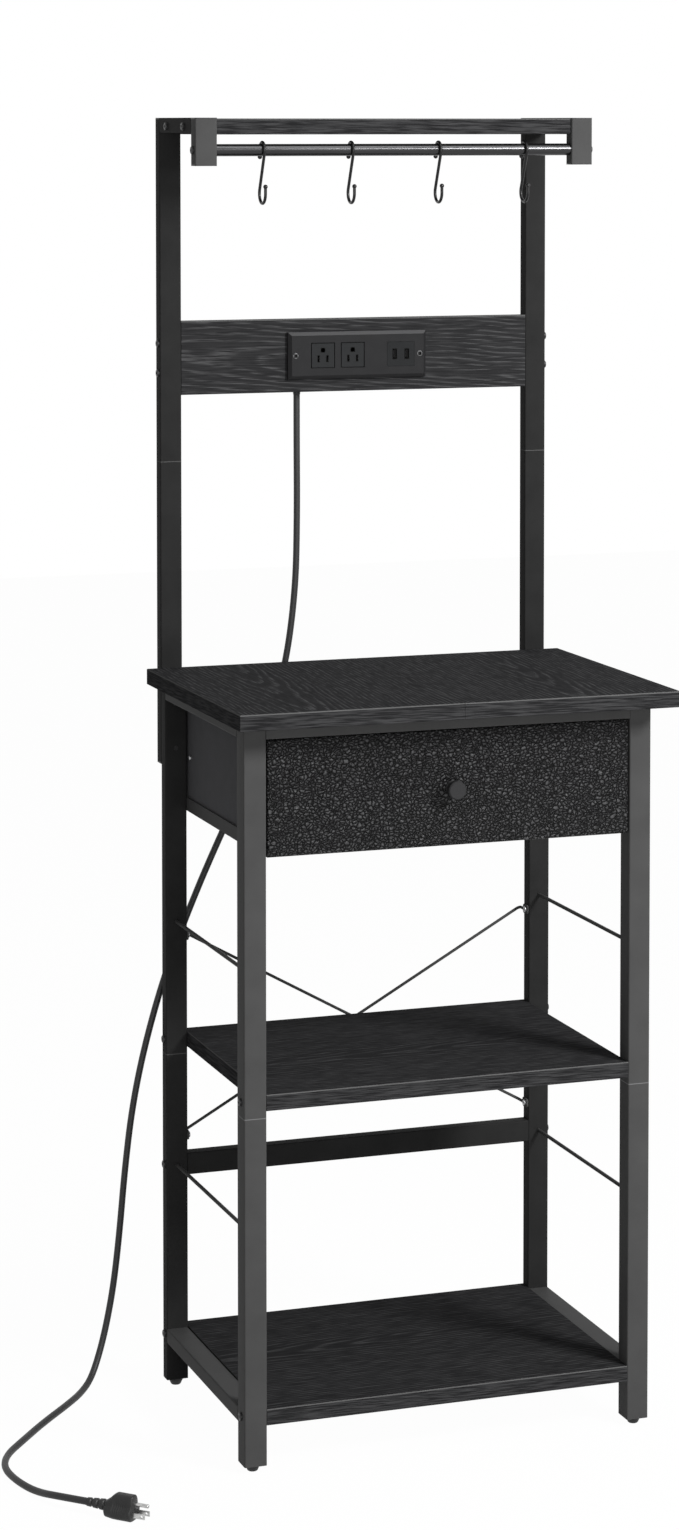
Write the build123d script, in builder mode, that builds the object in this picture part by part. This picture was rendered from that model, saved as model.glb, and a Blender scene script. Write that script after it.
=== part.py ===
"""Microwave stand with a drawer, a hutch with a socket strip, and a hook rail.

Millimetres, +Z up. The origin is on the floor, at the centre of the stand's plan
(the cord and its plug, which trail off to the left, are not counted). X runs to
the right and Y to the back, as seen by someone standing in front of the drawer.
"""

import math
import os

from build123d import *

# ---------------------------------------------------------------- driving sizes

# Steel tube
tube_face = 30.0            # width of every upright and side rail, seen from the front
front_leg_deep = 30.0       # the front legs are square tube
slim_deep = 20.0            # depth of the rear legs, posts and brackets, height of the rails
tube_wall = 1.2
tube_corner = 2.0           # outer corner radius
tube_inner_corner = 0.8
fit_gap = 0.2               # between a plug or sleeve and the inside of its tube

# Lower frame
frame_width = 560.0         # across the outer sides of the legs
frame_depth = 370.0         # front legs' fronts to rear legs' backs
leg_bottom = 9.0            # lower end of the legs, held up by the levelling feet
leg_seam = 459.0            # where the lower and the upper leg meet
bottom_rail_low = 60.0      # underside of the two bottom side rails
cross_rail_low = 291.0      # underside of the rear cross rail
cross_rail_tall = 30.0
guard_heights = (306.0, 641.0)
guard_diameter = 5.0
brace_diameter = 4.0
brace_low = 345.0
brace_high = 620.0

# Boards
board = 21.0                # thickness of the shelves and the tabletop
board_edge = 0.6            # broken edge of a banded board
bottom_shelf_low = 61.0
shelf_above_seam = 9.0      # underside of the middle shelf above the legs' joint
table_low = 964.0           # underside of the tabletop
table_side_overhang = 20.0
table_front_overhang = 50.0
table_seam = 0.4            # gap between the two halves of the tabletop
dowel_diameter = 8.0
dowel_length = 40.0
dowel_clear = 0.2
dowel_inset = 70.0          # outer dowels from the tabletop's front and back

# Hutch
hutch_top = 1729.0
post_bottom = 854.0
post_seam = 1265.0
hutch_reach = 186.0         # front of the brackets to the back of the posts
bracket_drop = 63.0         # height of the two tubes that carry the hook rail
top_shelf_drop = 1.0        # top of the top shelf below the top of the hutch
post_bolt_rise = 24.0       # lower bolt above the post's lower end
post_bolt_pitch = 60.0
panel_bolt_pitch = 40.0
arm_bolt_inset = 34.0       # bolts in the arms, from each end
top_shelf_setback = 3.0     # front edge behind the brackets' fronts
rail_diameter = 16.0
rail_wall = 1.2
rail_centre_drop = 42.5     # below the top of the hutch
rail_nut_depth = 15.0

# Socket strip
panel_low = 1355.0
panel_tall = 100.0
panel_thick = 15.0
plate_width = 200.0
plate_tall = 64.0
plate_proud = 9.0
plate_bevel = 4.5
housing_width = 170.0
housing_tall = 50.0
housing_deep = 28.0         # behind the front of the panel
housing_wall = 2.0
insert_gap = 0.3            # round the sockets and the charging module
socket_width = 34.5         # across the groove round each socket
socket_tall = 35.0
socket_groove = 1.2
groove_deep = 1.5
socket_offset = -29.5       # middle of the pair of sockets, to the right of the centre
socket_pitch = 43.0
socket_deep = 24.0
blade_spacing = 12.7        # between the two flat slots of a socket
ground_rise = 11.9          # ground hole above the flat slots
charger_offset = 62.0
charger_width = 40.0
charger_tall = 34.0
port_spacing = 17.7
port_width = 5.4
port_tall = 13.0
port_deep = 11.0
plate_screw_pitch = 180.0

# Drawer
drawer_low = 793.0
drawer_tall = 150.0
drawer_gap = 2.0            # each side of the drawer front
drawer_front_thick = 15.0
drawer_panel = 6.0          # cloth-covered side, back and bottom boards
drawer_side_gap = 2.5       # between a drawer side and the leg beside it
drawer_travel_room = 7.0    # between the drawer sides' tops and the rails above
runner_tall = 18.0
runner_wide = 22.0
runner_sheet = 1.5
runner_gap = 0.5            # under the drawer, and behind it
stop_screw_inset = 26.0     # stop screw in front of the drawer's back
stop_screw_height = 73.0    # above the drawer's lower edge
stop_head = 6.0
stop_head_tall = 4.0        # far enough out to meet the front leg
stop_shank = 3.0
knob_diameter = 24.0
knob_neck = 11.0
knob_reach = 25.0

# Levelling feet
foot_diameter = 18.0
foot_base = 14.0
foot_gap = 0.3
stud_diameter = 6.0
stud_clear = 0.05
stud_length = 20.0
insert_tall = 26.0

# Fasteners
bolt_diameter = 6.0
bolt_head = 10.5
bolt_head_tall = 3.0
bolt_clear = 0.2
bolt_reach = 22.0           # past the inside of the tube
screw_diameter = 4.0
screw_head = 8.0
screw_head_tall = 2.4
drive_share = 0.42          # width of the recess for the key, as a share of the head

# Hooks
wire = 4.0
hook_ball = 6.0
hook_play = 0.3             # between the hook and the rail
hook_drop = 57.0            # rail centre to the centre of the lower bend
hook_bend = 13.0            # centre-line radius of the lower bend
hook_lean = -0.56           # lower bend in front of the rail, so that the hook hangs plumb
hook_pitch = 123.4

# Cord
cord_diameter = 9.0
cord_bend_share = 0.45      # share of the shorter run that an arc may take
relief_length = 30.0
relief_top = 12.0
plug_length = 38.0
plug_wide = 26.0
plug_tall = 27.0
plug_small = 15.0
boot_length = 28.0
blade_length = 17.5
blade_tall = 6.3
blade_thick = 1.5
blade_hole = 3.2            # near the tip of each blade
ground_pin_diameter = 4.8
ground_pin_length = 20.0

# ---------------------------------------------------------------- worked-out places

post_deep = slim_deep
strip_overhang = housing_deep - post_deep       # the housing stands past the posts
total_depth = table_front_overhang + frame_depth + post_deep + strip_overhang
table_front = -total_depth / 2
leg_front = table_front + table_front_overhang
front_leg_back = leg_front + front_leg_deep
leg_back = leg_front + frame_depth
rear_leg_front = leg_back - slim_deep
post_front = leg_back
post_back = post_front + post_deep

leg_inner = frame_width / 2 - tube_face
leg_x = frame_width / 2 - tube_face / 2
front_leg_y = leg_front + front_leg_deep / 2
rear_leg_y = rear_leg_front + slim_deep / 2
post_y = post_front + post_deep / 2
inner_width = 2 * leg_inner

cap_plate = 2.0
cap_plug = 14.0
top_rail_low = table_low - slim_deep
bracket_front = post_back - hutch_reach
bracket_back = bracket_front + slim_deep
rail_y = bracket_front + slim_deep / 2
rail_z = hutch_top - rail_centre_drop
arm_low = hutch_top - slim_deep
table_top = table_low + board
table_width = frame_width + 2 * table_side_overhang
middle_shelf_low = leg_seam + shelf_above_seam
top_shelf_low = hutch_top - top_shelf_drop - board
socket_places = (socket_offset - socket_pitch / 2, socket_offset + socket_pitch / 2)

drawer_top = drawer_low + drawer_tall
drawer_back_face = rear_leg_front + 12.0        # the drawer runs back between the rear legs
drawer_box_low = drawer_low + 1.0
drawer_box_top = top_rail_low - drawer_travel_room
drawer_side_x = leg_inner - drawer_side_gap
drawer_front_back = leg_front + drawer_front_thick
knob_z = drawer_low + drawer_tall / 2

panel_centre = panel_low + panel_tall / 2
panel_back = post_front + panel_thick
housing_back = post_front + housing_deep
plate_front = post_front - plate_proud
relief_y = panel_back + relief_top / 2 + 0.5
relief_x = -79.0
housing_low = panel_centre - housing_tall / 2
relief_bottom = housing_low - relief_length

sides = (("left", -1), ("right", 1))

os.makedirs("parts", exist_ok=True)


def save(part, name):
    """Name a finished piece and write it to its own file."""
    part.label = name
    export_step(part, f"parts/{name}.step")


# ---------------------------------------------------------------- tubes and boards


def tube_section(wide, tall):
    """Draw the section of a rolled steel tube in the current sketch."""
    RectangleRounded(wide, tall, tube_corner)
    RectangleRounded(wide - 2 * tube_wall, tall - 2 * tube_wall, tube_inner_corner, mode=Mode.SUBTRACT)


def upright(x, y, low, high, deep, side_holes=(), face_holes=(), screw_heights=()):
    """A standing tube, drilled for its bolts and, in its inner wall, for the brace screws."""
    with BuildPart() as piece:
        with BuildSketch(Plane.XY.offset(low)):
            with Locations((x, y)):
                tube_section(tube_face, deep)
        extrude(amount=high - low)
        for hole_y, hole_z in side_holes:
            with Locations(Plane(origin=(x, hole_y, hole_z), z_dir=(1, 0, 0))):
                Hole(bolt_diameter / 2 + bolt_clear)
        for hole_z in face_holes:
            with Locations(Plane(origin=(x, y, hole_z), z_dir=(0, 1, 0))):
                Hole(bolt_diameter / 2 + bolt_clear)
        for hole_z in screw_heights:
            with Locations(Plane(origin=(math.copysign(leg_inner, x), brace_screw_y, hole_z), z_dir=(1, 0, 0))):
                Hole(screw_hole, depth=2 * tube_wall)
    return piece.part


def lying_board(width, front, back, low, thick):
    """A flat board between two planes, with its long edges just broken."""
    with BuildPart() as piece:
        with BuildSketch(Plane.XY.offset(low)):
            with Locations((0, (front + back) / 2)):
                Rectangle(width, back - front)
        extrude(amount=thick)
        chamfer(piece.edges().filter_by(Axis.X), board_edge)
    return piece


def fastener(head, head_tall, shank, length, round_over):
    """A round-headed screw on the XY plane: head above, shank below, with a six-sided recess."""
    with BuildPart() as piece:
        Cylinder(head / 2, head_tall, align=(Align.CENTER, Align.CENTER, Align.MIN))
        fillet(piece.edges().group_by(Axis.Z)[-1], round_over)
        with BuildSketch(Plane.XY.offset(head_tall)):
            RegularPolygon(head * drive_share / 2, 6)
        extrude(amount=-head_tall * 0.6, mode=Mode.SUBTRACT)
        Cylinder(shank / 2, length, align=(Align.CENTER, Align.CENTER, Align.MAX))
    return piece.part


def placed(piece, seats):
    """Copies of one fastener, each standing on its own seat."""
    with BuildPart() as copies:
        with Locations(*seats):
            add(piece)
    return copies.part


# ---------------------------------------------------------------- where bolts go

bottom_shelf_z = bottom_shelf_low + board / 2
middle_shelf_z = middle_shelf_low + board / 2
cross_rail_z = cross_rail_low + cross_rail_tall / 2
post_bolt_low = post_bottom + post_bolt_rise
post_bolt_heights = (post_bolt_low, post_bolt_low + post_bolt_pitch)
panel_bolt_y = post_front + panel_thick / 2
panel_bolt_heights = (panel_centre - panel_bolt_pitch / 2, panel_centre + panel_bolt_pitch / 2)
top_shelf_z = top_shelf_low + board / 2
arm_bolt_places = (bracket_back + arm_bolt_inset, post_front - arm_bolt_inset)

# Bolts put in from the sides: how far back and how high each one is
side_bolt_seats = [
    (front_leg_y, bottom_shelf_z),
    (rear_leg_y, bottom_shelf_z),
    (front_leg_y, middle_shelf_z),
    (rear_leg_y, middle_shelf_z),
    (rear_leg_y, cross_rail_z),
    (panel_bolt_y, panel_bolt_heights[0]),
    (panel_bolt_y, panel_bolt_heights[1]),
    (arm_bolt_places[0], top_shelf_z),
    (arm_bolt_places[1], top_shelf_z),
    (rail_y, rail_z),
]

# Screws: through the braces into the rear legs, and up through the rails into the top
screw_hole = screw_diameter / 2 + bolt_clear
brace_screw_y = rear_leg_front + 7.0
side_screw_places = (front_leg_back + 60.0, rear_leg_front - 60.0)
rear_screw_places = (-110.0, 110.0)

# ---------------------------------------------------------------- legs

for side, sign in sides:
    front_lower = upright(
        sign * leg_x,
        front_leg_y,
        leg_bottom,
        leg_seam,
        front_leg_deep,
        side_holes=[(front_leg_y, bottom_shelf_z)],
    )
    save(front_lower, f"front_leg_lower_{side}")

    front_upper = upright(
        sign * leg_x,
        front_leg_y,
        leg_seam,
        table_low - cap_plate,
        front_leg_deep,
        side_holes=[(front_leg_y, middle_shelf_z)],
    )
    save(front_upper, f"front_leg_upper_{side}")

    rear_lower = upright(
        sign * leg_x,
        rear_leg_y,
        leg_bottom,
        leg_seam,
        slim_deep,
        side_holes=[(rear_leg_y, bottom_shelf_z), (rear_leg_y, cross_rail_z)],
        screw_heights=(brace_low,),
    )
    save(rear_lower, f"rear_leg_lower_{side}")

    rear_upper = upright(
        sign * leg_x,
        rear_leg_y,
        leg_seam,
        table_low - cap_plate,
        slim_deep,
        side_holes=[(rear_leg_y, middle_shelf_z)],
        face_holes=post_bolt_heights,
        screw_heights=(brace_high,),
    )
    save(rear_upper, f"rear_leg_upper_{side}")

# ---------------------------------------------------------------- rails of the lower frame

# Bottom side rails, welded between the front and rear legs
with BuildPart() as bottom_side_rails:
    for side, sign in sides:
        with BuildSketch(Plane(origin=(sign * leg_x, front_leg_back, bottom_rail_low + slim_deep / 2), x_dir=(1, 0, 0), z_dir=(0, 1, 0))):
            tube_section(tube_face, slim_deep)
        extrude(amount=rear_leg_front - front_leg_back)
save(bottom_side_rails.part, "bottom_side_rails")

# Top side rails, under the ends of the tabletop
with BuildPart() as top_side_rails:
    for side, sign in sides:
        with BuildSketch(Plane(origin=(sign * leg_x, front_leg_back, top_rail_low + slim_deep / 2), x_dir=(1, 0, 0), z_dir=(0, 1, 0))):
            tube_section(tube_face, slim_deep)
        extrude(amount=rear_leg_front - front_leg_back)
    with Locations(*[(sign * leg_x, y, top_rail_low) for side, sign in sides for y in side_screw_places]):
        Hole(screw_hole)
save(top_side_rails.part, "top_side_rails")

with BuildPart() as front_top_rail:
    with BuildSketch(Plane(origin=(-leg_inner, leg_front + slim_deep / 2, top_rail_low + slim_deep / 2), z_dir=(1, 0, 0))):
        tube_section(slim_deep, slim_deep)
    extrude(amount=inner_width)
save(front_top_rail.part, "front_top_rail")

with BuildPart() as rear_top_rail:
    with BuildSketch(Plane(origin=(-leg_inner, rear_leg_y, top_rail_low + slim_deep / 2), z_dir=(1, 0, 0))):
        tube_section(slim_deep, slim_deep)
    extrude(amount=inner_width)
    with Locations(*[(x, rear_leg_y, top_rail_low) for x in rear_screw_places]):
        Hole(screw_hole)
save(rear_top_rail.part, "rear_top_rail")

# Rear cross rail, with a threaded block in each end for its bolt
cross_block = bolt_reach + 8.0
with BuildPart() as rear_cross_rail:
    with BuildSketch(Plane(origin=(-leg_inner, rear_leg_y, cross_rail_z), x_dir=(0, 1, 0), z_dir=(1, 0, 0))):
        tube_section(slim_deep, cross_rail_tall)
    extrude(amount=inner_width)
    for side, sign in sides:
        with BuildSketch(Plane(origin=(sign * leg_inner, rear_leg_y, cross_rail_z), x_dir=(0, 1, 0), z_dir=(-sign, 0, 0))):
            Rectangle(slim_deep - tube_wall, cross_rail_tall - tube_wall)
            Circle(bolt_diameter / 2 + bolt_clear, mode=Mode.SUBTRACT)
        extrude(amount=cross_block)
save(rear_cross_rail.part, "rear_cross_rail")

# Thin guard rods along both sides of the two bays
with BuildPart() as side_guard_rods:
    for side, sign in sides:
        for height in guard_heights:
            with BuildSketch(Plane(origin=(sign * leg_x, front_leg_back, height), z_dir=(0, 1, 0))):
                Circle(guard_diameter / 2)
            extrude(amount=rear_leg_front - front_leg_back)
save(side_guard_rods.part, "side_guard_rods")

# ---------------------------------------------------------------- crossed braces at the back

brace_tab = 2.5             # flattened end of the rod, flat against the leg
brace_tab_tall = 13.0
brace_tab_wide = 16.0
brace_bend = 6.0
brace_clear = 1.0           # between the shelves' back edges and the nearer rod
brace_rod_start = brace_screw_y + 6.0
brace_tab_inner = leg_inner - brace_tab
near_brace_y = leg_back + brace_clear + brace_diameter / 2
far_brace_y = near_brace_y + brace_diameter + 0.5


def brace_rod(rod_y, left_height, right_height):
    """A rod bent forward at both ends, each end flattened and drilled for a screw."""
    end_x = brace_tab_inner + brace_tab / 2 - brace_diameter / 2
    ends = ((-1, left_height), (1, right_height))
    with BuildPart() as piece:
        with BuildLine() as path:
            FilletPolyline(
                (-end_x, brace_rod_start, left_height),
                (-end_x, rod_y, left_height),
                (end_x, rod_y, right_height),
                (end_x, brace_rod_start, right_height),
                radius=brace_bend,
            )
        with BuildSketch(Plane(origin=path.line @ 0, z_dir=path.line % 0)):
            Circle(brace_diameter / 2)
        sweep()
        for sign, height in ends:
            with BuildSketch(Plane(origin=(sign * leg_inner, brace_screw_y + 2.0, height), x_dir=(0, 1, 0), z_dir=(-sign, 0, 0))):
                RectangleRounded(brace_tab_wide, brace_tab_tall, 4.0)
            extrude(amount=brace_tab)
            with Locations(Plane(origin=(sign * leg_inner, brace_screw_y, height), z_dir=(1, 0, 0))):
                Hole(screw_hole, depth=2 * brace_tab)
    return piece.part


save(brace_rod(near_brace_y, brace_high, brace_low), "back_brace_near")
save(brace_rod(far_brace_y, brace_low, brace_high), "back_brace_far")

# ---------------------------------------------------------------- sleeves, caps and foot inserts

sleeve_half = 30.0          # length of a joint sleeve inside each tube
leg_places = (
    ("front", front_leg_y, front_leg_deep),
    ("rear", rear_leg_y, slim_deep),
)


def plug_section(deep):
    """Draw the section of a block that fits inside a tube in the current sketch."""
    RectangleRounded(
        tube_face - 2 * tube_wall - 2 * fit_gap,
        deep - 2 * tube_wall - 2 * fit_gap,
        tube_inner_corner,
    )


with BuildPart() as tube_joint_sleeves:
    for side, sign in sides:
        for y, deep, seam in (
            (front_leg_y, front_leg_deep, leg_seam),
            (rear_leg_y, slim_deep, leg_seam),
            (post_y, post_deep, post_seam),
        ):
            with BuildSketch(Plane.XY.offset(seam - sleeve_half)):
                with Locations((sign * leg_x, y)):
                    plug_section(deep)
            extrude(amount=2 * sleeve_half)
    with Locations(*[Plane(origin=(0, y, middle_shelf_z), z_dir=(1, 0, 0)) for y in (front_leg_y, rear_leg_y)]):
        Hole(bolt_diameter / 2 + bolt_clear)
save(tube_joint_sleeves.part, "tube_joint_sleeves")

# Plastic caps: a plate as large as the tube, and a plug inside it. Each cap: its
# place in depth, the tube's own depth, the tube's end, and which way it faces
cap_seats = [
    (front_leg_y, front_leg_deep, table_low - cap_plate, 1),
    (rear_leg_y, slim_deep, table_low - cap_plate, 1),
    (post_y, post_deep, post_bottom + cap_plate, -1),
    (post_y, post_deep, hutch_top - cap_plate, 1),
    (rail_y, slim_deep, hutch_top - bracket_drop + cap_plate, -1),
    (rail_y, slim_deep, hutch_top - cap_plate, 1),
]
with BuildPart() as tube_end_caps:
    for side, sign in sides:
        for y, deep, tube_end, facing in cap_seats:
            with BuildSketch(Plane.XY.offset(tube_end)):
                with Locations((sign * leg_x, y)):
                    RectangleRounded(tube_face, deep, tube_corner)
            extrude(amount=facing * cap_plate)
            with BuildSketch(Plane.XY.offset(tube_end)):
                with Locations((sign * leg_x, y)):
                    plug_section(deep)
            extrude(amount=-facing * cap_plug)
save(tube_end_caps.part, "tube_end_caps")

with BuildPart() as foot_inserts:
    for side, sign in sides:
        for place, y, deep in leg_places:
            with BuildSketch(Plane.XY.offset(leg_bottom)):
                with Locations((sign * leg_x, y)):
                    plug_section(deep)
            extrude(amount=insert_tall)
            with Locations((sign * leg_x, y, leg_bottom)):
                Hole(stud_diameter / 2 + stud_clear, depth=stud_length + 2.0)
save(foot_inserts.part, "foot_inserts")

# ---------------------------------------------------------------- levelling feet

pad_top = leg_bottom - foot_gap


def levelling_foot(x, y):
    """A tapered pad with a domed underside edge, on a threaded stud."""
    with BuildPart() as piece:
        with BuildSketch(Plane(origin=(x, y, 0), x_dir=(1, 0, 0), z_dir=(0, -1, 0))):
            with BuildLine():
                Polyline(
                    (0, 0),
                    (foot_base / 2 - 1.0, 0),
                    (foot_base / 2, 1.0),
                    (foot_diameter / 2, pad_top - 3.0),
                    (foot_diameter / 2, pad_top),
                    (stud_diameter / 2, pad_top),
                    (stud_diameter / 2, leg_bottom + stud_length),
                    (0, leg_bottom + stud_length),
                    close=True,
                )
            make_face()
        revolve(axis=Axis((x, y, 0), (0, 0, 1)))
    return piece.part


for side, sign in sides:
    for place, y, deep in leg_places:
        save(levelling_foot(sign * leg_x, y), f"levelling_foot_{place}_{side}")

# ---------------------------------------------------------------- tabletop and shelves

table_half = table_width / 2 - table_seam / 2
dowel_places = (table_front + dowel_inset, (table_front + leg_back) / 2, leg_back - dowel_inset)
dowel_z = table_low + board / 2
dowel_hole_depth = dowel_length / 2 + 1.0
table_screw_depth = 12.0

table_screw_seats = [(sign * leg_x, y) for side, sign in sides for y in side_screw_places]
table_screw_seats += [(x, rear_leg_y) for x in rear_screw_places]

for side, sign in sides:
    seam_x = sign * table_seam / 2
    with BuildPart() as tabletop:
        with BuildSketch(Plane.XY.offset(table_low)):
            with Locations((seam_x + sign * table_half / 2, (table_front + leg_back) / 2)):
                Rectangle(table_half, leg_back - table_front)
        extrude(amount=board)
        chamfer(tabletop.edges().group_by(Axis.Z)[-1], board_edge)
        chamfer(tabletop.edges().group_by(Axis.Z)[0], board_edge)
        for y in dowel_places:
            with Locations(Plane(origin=(seam_x, y, dowel_z), z_dir=(sign, 0, 0))):
                Hole(dowel_diameter / 2 + dowel_clear / 2, depth=dowel_hole_depth)
        own_seats = [(x, y, table_low) for x, y in table_screw_seats if x * sign > 0]
        with Locations(*own_seats):
            Hole(screw_diameter / 2 + bolt_clear / 2, depth=table_screw_depth)
    save(tabletop.part, f"tabletop_{side}")

with BuildPart() as tabletop_dowels:
    for y in dowel_places:
        with BuildSketch(Plane(origin=(-dowel_length / 2, y, dowel_z), z_dir=(1, 0, 0))):
            Circle(dowel_diameter / 2)
        extrude(amount=dowel_length)
save(tabletop_dowels.part, "tabletop_dowels")


def bolted_board(front, back, low, bolt_places):
    """A shelf between the uprights, drilled in both ends for its bolts."""
    piece = lying_board(inner_width, front, back, low, board)
    with piece:
        for side, sign in sides:
            for y in bolt_places:
                with Locations(Plane(origin=(sign * leg_inner, y, low + board / 2), z_dir=(1, 0, 0))):
                    Hole(bolt_diameter / 2 + bolt_clear, depth=bolt_reach + 2.0)
    return piece.part


leg_bolt_places = (front_leg_y, rear_leg_y)
save(bolted_board(leg_front, leg_back, bottom_shelf_low, leg_bolt_places), "bottom_shelf")
save(bolted_board(leg_front, leg_back, middle_shelf_low, leg_bolt_places), "middle_shelf")
top_shelf_front = bracket_front + top_shelf_setback
save(bolted_board(top_shelf_front, post_back, top_shelf_low, arm_bolt_places), "top_shelf")

# ---------------------------------------------------------------- hutch

for side, sign in sides:
    lower_post = upright(
        sign * leg_x,
        post_y,
        post_bottom + cap_plate,
        post_seam,
        post_deep,
        face_holes=post_bolt_heights,
    )
    save(lower_post, f"hutch_post_lower_{side}")

    upper_post = upright(
        sign * leg_x,
        post_y,
        post_seam,
        hutch_top - cap_plate,
        post_deep,
        side_holes=[(panel_bolt_y, z) for z in panel_bolt_heights],
    )
    save(upper_post, f"hutch_post_upper_{side}")

with BuildPart() as hutch_arms:
    for side, sign in sides:
        with BuildSketch(Plane(origin=(sign * leg_x, bracket_back, arm_low + slim_deep / 2), x_dir=(1, 0, 0), z_dir=(0, 1, 0))):
            tube_section(tube_face, slim_deep)
        extrude(amount=post_front - bracket_back)
    with Locations(*[Plane(origin=(0, y, top_shelf_z), z_dir=(1, 0, 0)) for y in arm_bolt_places]):
        Hole(bolt_diameter / 2 + bolt_clear)
save(hutch_arms.part, "hutch_arms")

with BuildPart() as rail_brackets:
    for side, sign in sides:
        with BuildSketch(Plane.XY.offset(hutch_top - bracket_drop + cap_plate)):
            with Locations((sign * leg_x, rail_y)):
                tube_section(tube_face, slim_deep)
        extrude(amount=bracket_drop - 2 * cap_plate)
    with Locations(Plane(origin=(0, rail_y, rail_z), z_dir=(1, 0, 0))):
        Hole(bolt_diameter / 2 + bolt_clear)
save(rail_brackets.part, "rail_brackets")

# The hook rail: a thin tube with a swaged nut in each end
rail_bore = rail_diameter / 2 - rail_wall
nut_bore = bolt_diameter / 2 + bolt_clear
with BuildPart() as hanging_rail:
    with BuildSketch(Plane(origin=(0, rail_y, rail_z), x_dir=(1, 0, 0), z_dir=(0, -1, 0))):
        with BuildLine():
            Polyline(
                (-leg_inner, nut_bore),
                (-leg_inner + rail_nut_depth, nut_bore),
                (-leg_inner + rail_nut_depth, rail_bore),
                (leg_inner - rail_nut_depth, rail_bore),
                (leg_inner - rail_nut_depth, nut_bore),
                (leg_inner, nut_bore),
                (leg_inner, rail_diameter / 2),
                (-leg_inner, rail_diameter / 2),
                close=True,
            )
        make_face()
    revolve(axis=Axis((0, rail_y, rail_z), (1, 0, 0)))
save(hanging_rail.part, "hanging_rail")

# ---------------------------------------------------------------- hooks

loop_radius = rail_diameter / 2 + hook_play + wire / 2
reach = math.hypot(hook_lean, hook_drop)
toward_bend = math.atan2(-hook_drop, hook_lean)
tangent = toward_bend - math.acos((loop_radius + hook_bend) / reach)
tangent_out = (math.cos(tangent), math.sin(tangent))
loop_end = (loop_radius * tangent_out[0], loop_radius * tangent_out[1])
bend_start = (hook_lean - hook_bend * tangent_out[0], -hook_drop - hook_bend * tangent_out[1])
loop_sweep = math.degrees(tangent) % 360
bend_angle = math.degrees(tangent) % 360 - 180
tip_rise = 9.0
loop_tail = 9.0


def s_hook(x):
    """A bent wire hook: a loop over the rail, a slanting shank, and a bend open to the front."""
    with BuildPart() as piece:
        with BuildLine(Plane(origin=(x, rail_y, rail_z), x_dir=(0, 1, 0), z_dir=(1, 0, 0))) as path:
            Line((loop_radius, -loop_tail), (loop_radius, 0))
            CenterArc((0, 0), loop_radius, 0, loop_sweep)
            Line(loop_end, bend_start)
            CenterArc((hook_lean, -hook_drop), hook_bend, bend_angle, -(bend_angle + 180))
            Line((hook_lean - hook_bend, -hook_drop), (hook_lean - hook_bend, -hook_drop + tip_rise))
        with BuildSketch(Plane(origin=path.line @ 0, z_dir=path.line % 0)):
            Circle(wire / 2)
        sweep()
        with Locations(path.line @ 0, path.line @ 1):
            Sphere(hook_ball / 2)
    return piece.part


for number in (1, 2, 3, 4):
    save(s_hook((number - 2.5) * hook_pitch), f"s_hook_{number}")

# ---------------------------------------------------------------- socket strip

housing_clear = 0.5
plate_screw_drill = screw_diameter / 2
plate_screw_length = 11.0

with BuildPart() as outlet_panel:
    with BuildSketch(Plane(origin=(0, post_front, panel_centre), x_dir=(1, 0, 0), z_dir=(0, -1, 0))):
        Rectangle(inner_width, panel_tall)
        Rectangle(housing_width + 2 * housing_clear, housing_tall + 2 * housing_clear, mode=Mode.SUBTRACT)
    extrude(amount=-panel_thick)
    chamfer(outlet_panel.edges().group_by(Axis.Z)[-1].filter_by(Axis.X), board_edge)
    chamfer(outlet_panel.edges().group_by(Axis.Z)[0].filter_by(Axis.X), board_edge)
    for side, sign in sides:
        for z in panel_bolt_heights:
            with Locations(Plane(origin=(sign * leg_inner, panel_bolt_y, z), z_dir=(1, 0, 0))):
                Hole(bolt_diameter / 2 + bolt_clear, depth=bolt_reach + 2.0)
        with Locations(Plane(origin=(sign * plate_screw_pitch / 2, post_front, panel_centre), z_dir=(0, -1, 0))):
            Hole(plate_screw_drill, depth=plate_screw_length)
save(outlet_panel.part, "outlet_panel")

front_plane = Plane(origin=(0, plate_front, panel_centre), x_dir=(1, 0, 0), z_dir=(0, -1, 0))
socket_wide = socket_width - 2 * socket_groove
socket_high = socket_tall - 2 * socket_groove

with BuildPart() as outlet_faceplate:
    with BuildSketch(front_plane):
        Rectangle(plate_width, plate_tall)
    extrude(amount=-plate_proud)
    chamfer(outlet_faceplate.edges().group_by(Axis.Y)[0], plate_bevel)
    with BuildSketch(front_plane):
        for place in socket_places:
            with Locations((place, 0)):
                Rectangle(socket_wide + 2 * insert_gap, socket_high + 2 * insert_gap)
        with Locations((charger_offset, 0)):
            Rectangle(charger_width, charger_tall)
    extrude(amount=-plate_proud, mode=Mode.SUBTRACT)
    with BuildSketch(front_plane):
        for place in socket_places:
            with Locations((place, 0)):
                Rectangle(socket_width, socket_tall)
    extrude(amount=-groove_deep, mode=Mode.SUBTRACT)
    for side, sign in sides:
        with Locations(Plane(origin=(sign * plate_screw_pitch / 2, plate_front, panel_centre), z_dir=(0, -1, 0))):
            CounterBoreHole(screw_diameter / 2 + bolt_clear, screw_head / 2 + bolt_clear, screw_head_tall)
save(outlet_faceplate.part, "outlet_faceplate")

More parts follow.
